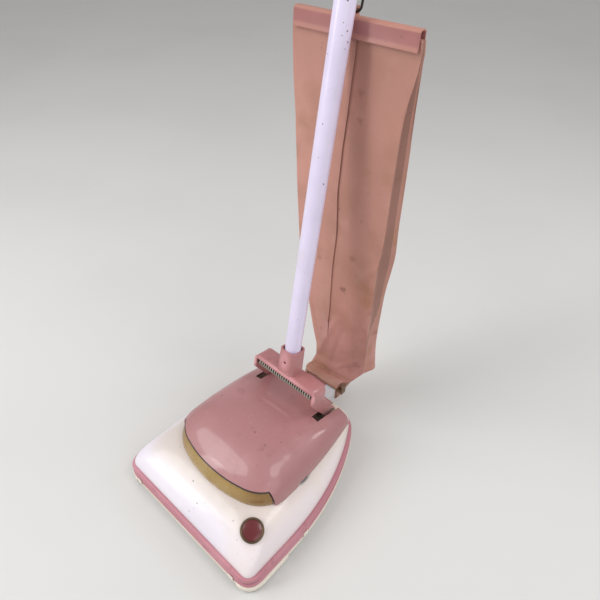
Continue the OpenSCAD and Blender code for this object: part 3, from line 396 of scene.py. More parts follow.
def pink_paint(name, colour, pale, dirt, highlight_lines=(), scuffs=()):
    p = Painter(name, colour, coat=0.5)
    p.mottle(pale, 18.0, 0.42, 0.7, 0.4)
    p.mottle(dirt, 55.0, 0.6, 0.76, 0.4, detail=5.0, seed=DIRT_SEED)
    p.mottle(pale, 260.0, 0.64, 0.74, 0.4, stretch=(1.0, 0.35, 1.0), detail=4.0)
    specks(p, (64, 44, 40), 330.0, 0.77)
    specks(p, (206, 168, 164), 420.0, 0.775, 0.45, seed=(0.8, 0.6, 0.2))
    # Painted highlights along the creases and edges
    for a, b, half, raised, top in highlight_lines:
        p.streak(a, b, half, pale, top, raised)
    for point, radius in scuffs:
        p.mark(point, radius, (92, 62, 58), 0.6, 0.7)
    return p.rough(0.38, 0.54).bump(20.0, 0.8, 0.1).bump(520.0, 0.04, 0.15).done()


def tube_paint():
    p = Painter("white_tube", (227, 217, 242), coat=0.4)
    p.mottle((210, 202, 226), 24.0, 0.42, 0.7, 0.5)
    p.mottle((216, 205, 200), 40.0, 0.58, 0.76, 0.5, stretch=(1.0, 1.0, 0.3))
    specks(p, (70, 54, 48), 240.0, 0.775)
    for point, radius in TUBE_CHIPS:
        p.mark(point, radius, (82, 62, 54), 0.9, warp=1.2)
    return p.rough(0.25, 0.42).bump(400.0, 0.06, 0.2).done()


def clip_paint():
    p = Painter("clip_pink", (160, 104, 101), coat=0.06)
    p.mottle((176, 116, 116), 30.0, 0.45, 0.7, 0.6)
    # Painted highlights: paler on the lip and on the top fold
    p.along("Z", 410.5, 408.0, (182, 128, 116), 0.8)
    p.along("Z", 417.0, 419.2, (180, 126, 110), 0.85)
    p.mottle((120, 78, 60), 80.0, 0.66, 0.8, 0.6, detail=5.0, seed=DIRT_SEED)
    specks(p, (70, 46, 38), 300.0, 0.77)
    return p.rough(0.42, 0.58).bump(30.0, 0.6, 0.15).bump(500.0, 0.05, 0.2).done()


def vinyl(name, tone):
    """The bag's vinyl, or a darker copy of it that paints shade where folds lie in each other."""
    def dim(*colour):
        return tuple(v * tone for v in colour)
    p = Painter(name, dim(194, 139, 124), coat=0.08)
    # Pinker towards the foot, browner at the gathers, pink again at the neck
    p.along("Z", 190.0, 90.0, dim(206, 149, 143), 0.8)
    p.along("Z", 60.0, 50.0, dim(164, 114, 97), 0.85)
    p.along("Z", 42.0, 37.0, dim(184, 122, 118), 0.8)
    # Painted light and shade: lighter on the left, darker below the clip and beside the pleat
    p.along("X", -8.0, -30.0, dim(210, 152, 137), 0.8)
    p.along("Z", 330.0, 400.0, dim(176, 125, 112), 0.5)
    p.streak(*BAG_SHADE, dim(152, 107, 94), 0.24)
    p.mottle(dim(172, 123, 102), 20.0, 0.42, 0.7, 0.6, detail=4.0)
    p.mottle(dim(168, 120, 82), 42.0, 0.6, 0.78, 0.4, detail=5.0, seed=(0.9, 0.4, 0.2))
    p.mottle(dim(204, 150, 136), 34.0, 0.54, 0.76, 0.45, seed=(0.6, 0.2, 0.4))
    p.mottle((140, 96, 72), 70.0, 0.68, 0.8, 0.5, detail=5.0, seed=(0.1, 0.8, 0.3))
    specks(p, (92, 56, 44), 300.0, 0.775, 0.7)
    for point, radius, colour in BAG_STAINS:
        p.mark(point, radius, colour, 0.65 if colour == DARK_STAIN else 0.42, 0.75, warp=7.0)
    return p.rough(0.4, 0.56).bump(60.0, 0.5, 0.22, detail=5.0).bump(700.0, 0.05, 0.25).done()


def spout_paint():
    """Pink paint with a pale ground at the right end."""
    p = Painter("spout_pink", (178, 119, 121), coat=0.3)
    p.mottle((196, 140, 140), 40.0, 0.45, 0.7, 0.5)
    p.along("X", 5.5, 9.0, (206, 207, 212))
    specks(p, (84, 62, 56), 300.0, 0.77, 0.7)
    return p.rough(0.34, 0.5).bump(400.0, 0.06, 0.2).done()


def lens_amber():
    p = Painter("amber_lens", (177, 147, 92), coat=0.25)
    p.constant("Transmission Weight", 0.12)
    p.constant("Subsurface Weight", 0.25)
    p.constant("Subsurface Radius", (0.004, 0.003, 0.001))
    # Darker towards both ends, paler along the foot
    for side in (1, -1):
        p.along("X", side * 26.0, side * 62.0, (132, 92, 48), 0.75)
    p.along("Z", 54.0, 47.0, (198, 174, 128), 0.6)
    p.mottle((160, 128, 64), 60.0, 0.45, 0.7, 0.5)
    specks(p, (90, 60, 30), 320.0, 0.77, 0.6)
    return p.rough(0.18, 0.34).bump(40.0, 0.4, 0.15).done()


def band_plastic():
    p = Painter("pink_band", (184, 121, 132))
    p.mottle((204, 146, 158), 30.0, 0.45, 0.7, 0.6, stretch=(0.5, 0.5, 1.5))
    p.mottle((150, 92, 96), 90.0, 0.58, 0.76, 0.5, detail=5.0)
    specks(p, (80, 50, 46), 320.0, 0.77, 0.7)
    # Painted shade in the groove between the ribs and a painted highlight along the upper rib
    p.line("Z", (PAN_TOP + SEAM_Z) / 2, 1.8, (112, 66, 76), 0.7)
    p.line("Z", SEAM_Z - 2.6, 0.7, (218, 166, 174), 0.6)
    return p.rough(0.4, 0.58).bump(300.0, 0.1, 0.25).done()


# Worn surfaces of one colour, by the record's material slots
PLAIN_LOOKS = {
    "dark_bronze": dict(colour=(88, 72, 58), tone=(124, 102, 76), low=0.3, high=0.5, metal=0.8),
    "red_enamel": dict(colour=(102, 26, 29), tone=(84, 18, 22), low=0.15, high=0.3, coat=0.5),
    "lamp_glass": dict(colour=(226, 224, 214), tone=(214, 208, 190), low=0.05, high=0.12, clear=0.8),
    "brass": dict(colour=(190, 156, 96), tone=(146, 112, 62), low=0.25, high=0.45, metal=0.9),
    "bright_steel": dict(colour=(206, 206, 204), tone=(170, 170, 168), low=0.12, high=0.25, metal=0.95),
    "bare_steel": dict(colour=(168, 162, 152), tone=(120, 110, 96), low=0.3, high=0.5, metal=0.85),
    "spring_steel": dict(colour=(184, 184, 172), tone=(140, 138, 124), low=0.28, high=0.45, metal=0.35),
    "dark_steel": dict(colour=(60, 54, 50), tone=(92, 76, 62), low=0.35, high=0.55, metal=0.7),
    "pink_grip": dict(colour=(186, 122, 122), tone=(164, 104, 102), low=0.4, high=0.6),
    "clamp_steel": dict(colour=(128, 104, 82), tone=(84, 62, 46), low=0.25, high=0.5, metal=0.7),
    "cell_jacket": dict(colour=(92, 96, 104), tone=(70, 72, 80), low=0.3, high=0.45, metal=0.4),
    "grey_plastic": dict(colour=(168, 164, 156), tone=(148, 142, 132), low=0.4, high=0.6),
    "dark_plastic": dict(colour=(52, 50, 48), tone=(72, 68, 64), low=0.4, high=0.6),
    "red_plastic": dict(colour=(150, 42, 40), tone=(124, 32, 32), low=0.3, high=0.45),
    "cream_plastic": dict(colour=(218, 208, 188), tone=(196, 182, 156), low=0.4, high=0.55),
    "black_tyre": dict(colour=(44, 43, 42), tone=(66, 62, 58), low=0.6, high=0.8, deep=0.3),
    "roller_rubber": dict(colour=(50, 48, 46), tone=(74, 70, 64), low=0.6, high=0.8, deep=0.3),
}
BY_SLOT = {slot: plain(slot, **look) for slot, look in PLAIN_LOOKS.items()}
BY_SLOT["white_paint"] = white_body()
BY_SLOT["pink_paint"] = pink_paint("pink_paint", (167, 115, 116), (184, 134, 136), (134, 90, 84),
                                   HOOD_CREASE_HIGHLIGHTS, HOOD_SCUFFS)
BY_SLOT["white_tube"] = tube_paint()
BY_SLOT["pink_vinyl"] = vinyl("pink_vinyl", 0.955)
BY_SLOT["amber_lens"] = lens_amber()
BY_SLOT["pink_band"] = band_plastic()

# Looks of single pieces, and of parts of a piece
YOKE_PINK = pink_paint("yoke_pink", (172, 113, 114), (222, 160, 164), (140, 92, 84), YOKE_HIGHLIGHTS)
CLIP_PINK = clip_paint()
SPOUT = spout_paint()
PAN = plain("pan_paint", (240, 232, 218), (222, 210, 190), 0.3, 0.5, coat=0.2)
# Dark rims of the cut sheet; along the lip's edge this is painted shade
EDGE = plain("dark_edge", (58, 48, 54), (84, 66, 64), 0.4, 0.6, metal=0.3)
# Darker copies of the vinyl, as painted shade in the gussets' folds and on the pleat's step
VINYL_FOLD_SHADE = vinyl("shaded_fold_vinyl", 0.8)
VINYL_SEAM_SHADE = vinyl("shaded_seam_vinyl", 0.71)

SLOT_OF = {part["node"]: part["material_slot"] for part in frame["record"]["subparts"]}
for node, obj in frame["nodes"].items():
    obj.data.materials.clear()
    obj.data.materials.append(BY_SLOT[SLOT_OF[node]])
frame["nodes"]["spring_rod"].data.materials[0] = BY_SLOT["dark_steel"]


# ---------------------------------------------------------------- meshes

def add_object(name, data):
    obj = bpy.data.objects.new(name, data)
    bpy.context.scene.collection.objects.link(obj)
    return obj


def add_piece(name, mesh, node, material=None, crisp=CRISP):
    """Puts a mesh in the scene in place of a CAD node."""
    mesh.polygons.foreach_set("use_smooth", [True] * len(mesh.polygons))
    mesh.set_sharp_from_angle(angle=math.radians(crisp))
    mesh.materials.append(material or BY_SLOT[SLOT_OF[node]])
    obj = add_object(name, mesh)
    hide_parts(node)
    return obj


def body_of(node):
    return frame["nodes"][node]["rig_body"]


def mesh_from(name, verts, faces):
    mesh = bpy.data.meshes.new(name)
    mesh.from_pydata([tuple(v) for v in verts], [], faces)
    mesh.update()
    return mesh


def rounded(node, width, material=None, segments=2):
    """The CAD node's own shape with its sharp edges rounded off by a width in millimetres."""
    bm = bmesh.new()
    bm.from_mesh(frame["nodes"][node].data)
    bmesh.ops.remove_doubles(bm, verts=bm.verts, dist=WELD)
    bmesh.ops.dissolve_limit(bm, angle_limit=math.radians(FLAT_WITHIN), verts=bm.verts, edges=bm.edges)
    least = math.radians(ROUND_FROM)
    sharp = [e for e in bm.edges if len(e.link_faces) == 2 and e.calc_face_angle(0.0) > least]
    bmesh.ops.bevel(bm, geom=sharp, offset=width / MM, offset_type="OFFSET", segments=segments,
                    profile=0.5, affect="EDGES", clamp_overlap=True)
    mesh = bpy.data.meshes.new(node + "_rounded")
    bm.to_mesh(mesh)
    bm.free()
    obj = add_piece(node + "_rounded", mesh, node, material)
    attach(obj, body_of(node))


def ring_quads(a, b, n):
    """Faces between two rings of n points, which start at a and at b."""
    return [(a + i, a + (i + 1) % n, b + (i + 1) % n, b + i) for i in range(n)]


def lofted(name, rings, looped=False, cap_last=False):
    """Mesh through rings of as many points each, in millimetres from the front."""
    n, m = len(rings[0]), len(rings)
    verts = [place(*p) for r in rings for p in r]
    faces = []
    for j in range(m if looped else m - 1):
        faces += ring_quads(j * n, ((j + 1) % m) * n, n)
    if cap_last:
        verts.append(tuple(np.mean([place(*p) for p in rings[-1]], axis=0)))
        faces += [((m - 1) * n + i, (m - 1) * n + (i + 1) % n, len(verts) - 1) for i in range(n)]
    return mesh_from(name, verts, faces)


# The outlines and slopes of the part's source, with finer steps

def quarter_sine(steps):
    """Shares from 0 to 1 that lie closer together towards 1."""
    return [math.sin(math.pi / 2 * i / steps) for i in range(steps + 1)]


def side_x(y):
    """Half width of the seam."""
    if y <= SIDE_RUN:
        return BODY_W / 2
    return BODY_W / 2 - SIDE_RADIUS + math.sqrt(SIDE_RADIUS ** 2 - (y - SIDE_RUN) ** 2)


def slope_share(y):
    """How much of the sides' slope is left; it fades towards the rear."""
    return max(FADE_LEAST, min(1.0, (FADE_END - y) / FADE_LEN))


def slope_in(f, power):
    """Share of a slope's run at the share f of its rise."""
    return 1 - (1 - f ** power) ** (1 / power)


def slope_up(share, power):
    """Share of a slope's rise at a share of its run."""
    share = min(max(share, 0.0), 1.0)
    return (1 - (1 - share) ** power) ** (1 / power)


def dome(s, power):
    """Share of the hood's reach at the share s of its height."""
    return (1 - s ** power) ** (1 / power)


def bezier(a, b, c, t):
    return tuple((1 - t) ** 2 * a[k] + 2 * t * (1 - t) * b[k] + t * t * c[k] for k in range(2))


def corner(a, b, c):
    """Points of a rounded corner, without its first."""
    return [bezier(a, b, c, i / CORNER_STEPS) for i in range(1, CORNER_STEPS + 1)]


def outline(front, bow, edge, rear, front_run, rear_run):
    """Closed plan outline: a bowed front, sides whose half width is edge(y), a straight rear."""
    y1, y2 = front + bow + front_run, rear - rear_run
    w1 = edge(y1)
    w2 = edge(y2) + (edge(y2) - edge(y2 - TANGENT_STEP)) / TANGENT_STEP * rear_run
    xf = w1 - front_run
    yf = front + bow * (xf / w1) ** 2
    half = []
    for i in range(FRONT_STEPS + 1):
        x = xf * i / FRONT_STEPS
        half.append((x, front + bow * (x / w1) ** 2))
    half += corner((xf, yf), (w1, front + bow), (w1, y1))
    for i in range(1, SIDE_STEPS + 1):
        y = y1 + (y2 - y1) * i / SIDE_STEPS
        half.append((edge(y), y))
    half += corner((edge(y2), y2), (w2, rear), (w2 - rear_run, rear))
    half += [((w2 - rear_run) * (1 - i / REAR_STEPS), rear) for i in range(1, REAR_STEPS + 1)]
    return half + [(-x, y) for x, y in half[-2:0:-1]]


def plan(out):
    """The seam's outline, moved outwards."""
    return outline(-out, 0.0, lambda y: side_x(y) + out, BODY_LEN + out,
                   FRONT_CORNER + 2 * out, REAR_CORNER + out)


def body_ring(f, wall):
    """Outline of the body at the share f of its rise, a wall inwards."""
    front_in = FRONT_SLOPE * slope_in(f, FRONT_POWER) + wall
    side_in = SIDE_SLOPE * slope_in(f, SIDE_POWER)
    rear_in = REAR_SLOPE * slope_in(f, SIDE_POWER) + wall
    front_corner = FRONT_CORNER + CORNER_GROW * slope_in(f, FRONT_POWER)
    ring = outline(front_in, 0.0, lambda y: side_x(y) - side_in * slope_share(y) - wall,
                   BODY_LEN - rear_in, front_corner, REAR_CORNER)
    return [(x, y, SEAM_Z + (BODY_RISE - wall) * f) for x, y in ring]


def body_z(x, y):
    """Height of the body's skin."""
    front_rise = slope_up(y / FRONT_SLOPE, FRONT_POWER)
    side_rise = slope_up((side_x(y) - abs(x)) / (SIDE_SLOPE * slope_share(y)), SIDE_POWER)
    return SEAM_Z + BODY_RISE * min(front_rise, side_rise)


def hood_x(y):
    """Half width of the hood."""
    return HOOD_W / 2 - (max(0.0, y - HOOD_TAPER_Y) ** 2 / (2 * HOOD_TAPER_RADIUS))


def hood_plan(wall, s=0.0):
    """Outline of the hood; its rear corners widen towards the crest, so that no ridge runs up to it."""
    return outline(HOOD_FRONT + wall, HOOD_BOW, lambda y: hood_x(y) - wall, HOOD_END - wall,
                   HOOD_CORNER, HOOD_REAR_CORNER + HOOD_CORNER_GROW * s ** 4)


def hood_ring(s, wall, deep):
    """Ring of the hood at the share s of its height; its foot stands on the body, deep inside the edge."""
    base, under = hood_plan(wall, s), hood_plan(deep)
    top = SEAM_Z + HOOD_TOP - wall
    ring = []
    for (x, y), (ux, uy) in zip(base, under):
        foot = max(body_z(ux, uy), PLATEAU - HOOD_DIP) + SEAT
        along = dome(s, DOME_FRONT if y < CREST_Y else DOME_REAR)
        ring.append((x * dome(s, DOME_SIDE), CREST_Y + (y - CREST_Y) * along, foot + (top - foot) * s))
    return ring


def make_body():
    steps = quarter_sine(BODY_STEPS)
    opening = outline(OPEN_FRONT, 0.0, lambda y: OPEN_W / 2, OPEN_REAR, OPEN_CORNER, OPEN_CORNER)
    rings = [body_ring(f, 0.0) for f in steps]
    rings += [[(x, y, PLATEAU) for x, y in opening], [(x, y, PLATEAU - SHEET) for x, y in opening]]
    rings += [body_ring(f, SHEET) for f in reversed(steps[::2])]
    obj = add_piece("body_skin", lofted("body_skin", rings, looped=True), "body_shell", crisp=50.0)
    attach(obj, "base")


def make_band():
    low, high = PAN_TOP + BAND_GAP, SEAM_Z - BAND_GAP
    rib = (high - low) * RIB_SHARE
    rows = [(BAND_INNER, low), (BAND_ROOT, low)]
    for start, reach in ((low, BAND_OUT), (high - rib, BAND_OUT * UPPER_RIB)):
        for i in range(RIB_STEPS + 1):
            t = i / RIB_STEPS
            swell = 1 - abs(2 * t - 1) ** RIB_POWER
            rows.append((BAND_ROOT + (reach - BAND_ROOT) * swell, start + rib * t))
        if start == low:
            rows += [(BAND_GROOVE, low + rib * GROOVE_FROM), (BAND_GROOVE, high - rib * GROOVE_FROM)]
    rows.append((BAND_INNER, high))
    rings = [[(x, y, z) for x, y in plan(out)] for out, z in rows]
    obj = add_piece("bumper_ribs", lofted("bumper_ribs", rings, looped=True), "bumper_strip", crisp=60.0)
    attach(obj, "base")


def slice_at(bm, point, normal):
    """Cuts the faces along a plane."""
    bmesh.ops.bisect_plane(bm, geom=bm.verts[:] + bm.edges[:] + bm.faces[:], dist=ON_PLANE,
                           plane_co=place(*point), plane_no=normal)


def drop_faces(bm, test):
    """Takes away the faces whose middle, in millimetres from the front, passes the test."""
    gone = [f for f in bm.faces if test(*in_mm(f.calc_center_median()))]
    bmesh.ops.delete(bm, geom=gone, context="FACES")


def thicken(obj, thick, edge, rim_material=None):
    """Gives an open skin its sheet thickness, inwards, and rounds the cut edges."""
    wall = obj.modifiers.new("sheet", "SOLIDIFY")
    if rim_material:
        obj.data.materials.append(rim_material)
        wall.material_offset_rim = 1
    wall.thickness = thick / MM
    wall.offset = -1.0
    wall.use_even_offset = True
    rim = obj.modifiers.new("rim", "BEVEL")
    rim.width = edge / MM
    rim.segments = 2
    rim.limit_method = "ANGLE"
    rim.angle_limit = math.radians(RIM_ANGLE)
    graph = bpy.context.evaluated_depsgraph_get()
    solid = bpy.data.meshes.new_from_object(obj.evaluated_get(graph))
    obj.modifiers.clear()
    old = obj.data
    obj.data = solid
    bpy.data.meshes.remove(old)


def smooth_shoulder(bm, lip):
    """Evens out the hood behind its crest."""
    shoulder = []
    for v in bm.verts:
        _, y, z = in_mm(v.co)
        if y > CREST_Y + SHOULDER_BEHIND and z > lip - SHOULDER_UNDER:
            shoulder.append(v)
    for _ in range(SHOULDER_PASSES):
        bmesh.ops.smooth_vert(bm, verts=shoulder, factor=0.5,
                              use_axis_x=True, use_axis_y=True, use_axis_z=True)


def make_hood():
    steps = [min(s, DOME_CLOSED) for s in quarter_sine(HOOD_STEPS)]
    mesh = lofted("hood_skin", [hood_ring(s, 0.0, SHEET) for s in steps], cap_last=True)
    bm = bmesh.new()
    bm.from_mesh(mesh)
    lip = SEAM_Z + LIP_H
    smooth_shoulder(bm, lip)
    for y in (HOOD_BACK, POST_Y, SLOT_Y):
        slice_at(bm, (0, y, 0), (0, 1, 0))
    slice_at(bm, (0, 0, lip), (0, 0, 1))
    for side in (-1, 1):
        for half in (-1, 1):
            slice_at(bm, (side * (SLOT_MID + half * SLOT_W / 2), 0, 0), (1, 0, 0))
    slice_at(bm, (0, 0, lip + EDGE_LINE), (0, 0, 1))
    drop_faces(bm, lambda x, y, z: y > HOOD_BACK)
    drop_faces(bm, lambda x, y, z: x > 0 and NOTCH_Y < y < NOTCH_Y + NOTCH_LEN and z < PLATEAU + NOTCH_H)
    drop_faces(bm, lambda x, y, z: y < POST_Y and z < lip)
    drop_faces(bm, lambda x, y, z: y > SLOT_Y and abs(abs(x) - SLOT_MID) < SLOT_W / 2)
    # Painted shade: the lip's edge is dark
    for f in bm.faces:
        _, y, z = in_mm(f.calc_center_median())
        if z < lip + EDGE_LINE and y < POST_Y:
            f.material_index = 1
    bm.to_mesh(mesh)
    bm.free()
    obj = add_piece("hood_skin", mesh, "hood")
    thicken(obj, SHEET, HOOD_RIM, EDGE)
    # The cut edges beside the lens, below the lip, stay pink, without the dark edge
    for face in obj.data.polygons:
        _, y, z = in_mm(face.center)
        if z < lip - PAINTED_UNDER and y < POST_Y + PAINTED_BEHIND:
            face.material_index = 0
    obj.data.set_sharp_from_angle(angle=math.radians(SHELL_CRISP))
    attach(obj, "base")


def make_lens():
    share = (LIP_H + LENS_BEHIND_LIP - BODY_RISE) / (HOOD_TOP - BODY_RISE)
    out = SHEET + LENS_GAP
    rings = [hood_ring(share * i / LENS_STEPS, out, out + LENS_T) for i in range(LENS_STEPS + 1)]
    mesh = lofted("lens_skin", rings)
    bm = bmesh.new()
    bm.from_mesh(mesh)
    slice_at(bm, (0, POST_Y - SEAT, 0), (0, 1, 0))
    drop_faces(bm, lambda x, y, z: y > POST_Y - SEAT)
    bm.to_mesh(mesh)
    bm.free()
    obj = add_piece("lens_skin", mesh, "headlight_lens")
    thicken(obj, LENS_T, LENS_RIM)
    obj.data.set_sharp_from_angle(angle=math.radians(SHELL_CRISP))
    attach(obj, "base")


def spring_path():
    """Middle line of the coil's wire, with a straight end at each side."""
    r = (SPRING_D - WIRE_D) / 2
    path = []
    for i in range(SPRING_TURNS * WIRE_STEPS + 1):
        turn = i / WIRE_STEPS
        a = 2 * math.pi * turn
        x = (turn / SPRING_TURNS - 0.5) * (SPRING_LEN - WIRE_D)
        path.append(Vector((x, r * math.sin(a), -r * math.cos(a))))
    path.insert(0, path[0] + (path[0] - path[1]).normalized() * WIRE_D)
    path.append(path[-1] + (path[-1] - path[-2]).normalized() * WIRE_D)
    return path


def make_spring():
    path = spring_path()
    verts, faces = [], []
    for i, p in enumerate(path):
        ahead = (path[min(i + 1, len(path) - 1)] - path[max(i - 1, 0)]).normalized()
        side = ahead.cross(Vector((1, 0, 0))).normalized()
        up = side.cross(ahead)
        for k in range(WIRE_SIDES):
            a = 2 * math.pi * k / WIRE_SIDES
            q = p + WIRE_D / 2 * (math.cos(a) * side + math.sin(a) * up)
            verts.append(on_handle(q.x, SPRING_Y + q.y, SPRING_Z + q.z))
    for i in range(len(path) - 1):
        faces += ring_quads(i * WIRE_SIDES, (i + 1) * WIRE_SIDES, WIRE_SIDES)
    faces.append(tuple(range(WIRE_SIDES - 1, -1, -1)))
    faces.append(tuple(range(len(verts) - WIRE_SIDES, len(verts))))
    obj = add_piece("spring_wire", mesh_from("spring_wire", verts, faces), "yoke_spring", crisp=60.0)
    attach(obj, "handle")


# ---------------------------------------------------------------- the bag

# Rings from the clip down to the neck. Each has the front line's Y and height, the back line's Y and
# height, the left and right ends of the front line and of the back line, and the two gusset folds.
# Heights are over the seam, all in millimetres.
BAG_KEYS = [
    (220.6, 396.4, 225.0, 396.4, -57.6, 57.6, -57.6, 57.6, -57.2, 57.2),
    (220.7, 386.0, 225.3, 386.0, -58.4, 58.2, -58.4, 58.0, -57.6, 57.4),
    (220.6, 373.0, 227.0, 374.0, -58.3, 57.0, -57.6, 56.6, -56.4, 54.6),
    (220.2, 350.0, 229.6, 352.0, -57.6, 53.0, -56.6, 55.2, -54.6, 50.6),
    (219.8, 327.0, 232.2, 329.0, -56.4, 51.4, -55.6, 53.6, -52.6, 48.0),
    (219.8, 300.0, 235.0, 302.0, -55.6, 50.0, -54.6, 52.0, -51.0, 46.0),
    (220.0, 274.0, 237.4, 276.0, -54.8, 49.0, -53.4, 50.6, -49.6, 44.6),
    (220.4, 231.0, 240.0, 233.0, -52.8, 47.8, -51.4, 49.0, -47.6, 43.0),
    (220.8, 202.0, 241.4, 204.0, -51.9, 44.8, -50.0, 48.8, -46.0, 40.6),
    (221.0, 183.0, 242.0, 184.0, -51.0, 43.9, -48.6, 46.6, -44.6, 39.6),
    (221.0, 160.0, 242.0, 160.0, -46.8, 43.4, -45.6, 43.6, -41.0, 39.0),
    (221.0, 131.0, 242.0, 130.0, -40.6, 42.8, -41.0, 42.0, -36.0, 38.4),
    (221.0, 106.0, 241.6, 104.0, -35.8, 42.4, -37.4, 41.0, -31.6, 38.0),
    (221.2, 76.0, 241.0, 78.0, -29.8, 42.2, -33.4, 41.4, -27.0, 38.0),
    (221.4, 56.0, 240.0, 58.0, -25.0, 41.6, -30.0, 43.6, -25.0, 39.4),
    (220.6, 45.0, 236.5, 48.5, -23.4, 38.6, -28.0, 45.8, -24.4, 40.0),
    (218.0, 36.0, 229.0, 41.5, -24.0, 34.0, -28.0, 39.5, -26.0, 36.0),
    (215.6, 29.4, 222.5, 32.0, -26.4, 29.6, -27.4, 31.0, -28.0, 30.0),
    (213.2, 30.4, 217.5, 17.0, -28.0, 28.0, -27.0, 24.4, -30.0, 26.4),
    (209.0, 30.2, 210.8, 8.6, -27.6, 22.6, -27.0, 22.0, -30.2, 22.4),
    (203.6, 28.4, 203.8, 8.8, -25.4, 21.2, -26.0, 21.2, -27.4, 21.2),
    (201.6, 26.6, 201.7, 9.8, -22.6, 20.8, -22.8, 20.8, -23.4, 20.8),
]
BAG_SUB, LEFT_N, RIGHT_N, GUSSET_N, BACK_N = 9, 56, 58, 22, 70
FRONT, RIGHT, BACK, LEFT = 1.0, 2.0, 3.0, 4.0  # sides of the bag, each with wrinkles of its own

# Each pair is the span over which a form comes in: heights over the seam, unless the name ends in X or Y
FRONT_SWELL, BACK_SWELL, SWELL_POWER, BAG_REAR = 2.4, 3.0, 0.7, 242.6
SWELL_TOP, SWELL_FOOT = (392, 300), (20, 60)
LAP, LAP_FADE, SEAM_STEP = 1.3, 16.0, 0.25
LAP_TOP, LAP_FOOT = (394, 384), (60, 110)
NECK_TILT = 0.12
TILT_SPAN, TILT_SPAN_Y = (56, 34), (202, 212)
CLIP_SINK = 5.0
SINK_SPAN, SINK_SPAN_X = (376, 394), (44.0, 51.0)
NECK_H, NECK_SHARE_X, NECK_SHARE_Z, NECK_TUCK = 18.0, 0.95, 0.92, 4.0

# The pleat's line down the front, by height
PLEAT_H = [103, 131, 171, 219, 260, 298, 332, 383]
PLEAT_X = [-6.1, -6.2, -5.7, -3.0, -2.7, -0.4, 2.6, 4.8]

# Folds of the front: start and end as sideways place and height, half width and how far each stands out
FOLDS = [
    ((43, 199), (28, 242), 3.4, -0.9), ((43, 199), (24, 168), 3.6, 0.9), ((43, 197), (38, 120), 2.6, 1.0),
    ((-21, 48), (4, 112), 4.0, 1.2), ((0, 44), (12, 98), 3.6, -1.1), ((25, 44), (33, 104), 3.4, 1.2),
    ((-46, 152), (-27, 82), 3.4, 1.0), ((-18, 124), (16, 72), 4.2, 0.8), ((8, 40), (30, 62), 3.0, 1.0),
]
# Waves of the vinyl: length across and along, depth, and the noise's shift across, along and by side
WAVES = [
    (34.0, 62.0, 1.5, 3.1, 0.0, 7.7),
    (13.0, 30.0, 0.6, 0.0, 4.0, 3.3),
    (5.5, 9.0, 0.16, 0.0, 0.0, 5.1),
]
FREE_TOP, FREE_FOOT = (392, 372), (16, 40)
# Gathers above the neck: depth, length of a wave, its lean, and how far and how fast it strays
GATHER, GATHER_LEN, GATHER_LEAN = 0.8, 5.2, 0.02
GATHER_STRAY, STRAY_ACROSS, STRAY_ALONG = 1.5, 20.0, 50.0
GATHER_SPAN = (170, 60)
GUSSET_CREASE, GUSSET_SPREAD = 0.5, 40.0

# Vinyl with painted shade: material places, the pleat's heights, and the gussets' columns with their taper
FOLD_SHADE_INDEX, SEAM_SHADE_INDEX = 1, 2
PLEAT_LOW, PLEAT_DARK_FROM, PLEAT_HIGH = 90, 215, 386
GUSSET_DARK, GUSSET_TAPER = 18, (64, 150)


def catmull(rows, sub):
    """Smooth rows through the key rows."""
    keys = np.array(rows, float)
    keys = np.vstack([2 * keys[0] - keys[1], keys, 2 * keys[-1] - keys[-2]])
    out = []
    for i in range(1, len(keys) - 2):
        a, b, c, d = keys[i - 1:i + 3]
        for k in range(sub):
            t = k / sub
            out.append(0.5 * (2 * b + (c - a) * t + (2 * a - 5 * b + 4 * c - d) * t ** 2
                              + (3 * b - a - 3 * c + d) * t ** 3))
    out.append(keys[-2])
    return out


def step(a, b, v):
    """Goes smoothly from 0 at a to 1 at b."""
    t = min(max((v - a) / (b - a), 0.0), 1.0)
    return t * t * (3 - 2 * t)


def fold_height(x, h):
    """How far the folds of the front stand out."""
    total = 0.0
    for (x0, h0), (x1, h1), half, deep in FOLDS:
        dx, dh = x1 - x0, h1 - h0
        t = min(max(((x - x0) * dx + (h - h0) * dh) / (dx * dx + dh * dh), 0.0), 1.0)
        off = math.hypot(x - x0 - t * dx, h - h0 - t * dh) / half
        total += deep * math.exp(-off * off)
    return total


def wrinkle(x, h, side):
    """How far the vinyl stands off its smooth form, in millimetres."""
    free = step(*FREE_TOP, h) * step(*FREE_FOOT, h)
    off = 0.0
    for across, along, deep, shift_x, shift_h, shift_side in WAVES:
        off += deep * noise.noise(Vector((x / across + shift_x, h / along + shift_h, side * shift_side)))
    stray = GATHER_STRAY * noise.noise(Vector((x / STRAY_ACROSS, h / STRAY_ALONG, side)))
    off += step(*GATHER_SPAN, h) * GATHER * math.sin(x / GATHER_LEN + GATHER_LEAN * h + stray)
    if side == FRONT:
        off += fold_height(x, h)
    return free * off


def gusset(start, fold_x, end, side):
    """One side of the bag, folded in at its middle, from one edge line to the other."""
    (x0, y0, h0), (x1, y1, h1) = start, end
    points = []
    for i in range(GUSSET_N):
        t = i / GUSSET_N
        a, b, e = (x0, fold_x, t * 2) if t < 0.5 else (fold_x, x1, t * 2 - 1)
        h = h0 + (h1 - h0) * t
        x = a + (b - a) * e + GUSSET_CREASE * wrinkle(GUSSET_SPREAD * t, h, side)
        points.append((x, y0 + (y1 - y0) * t, h))
    return points


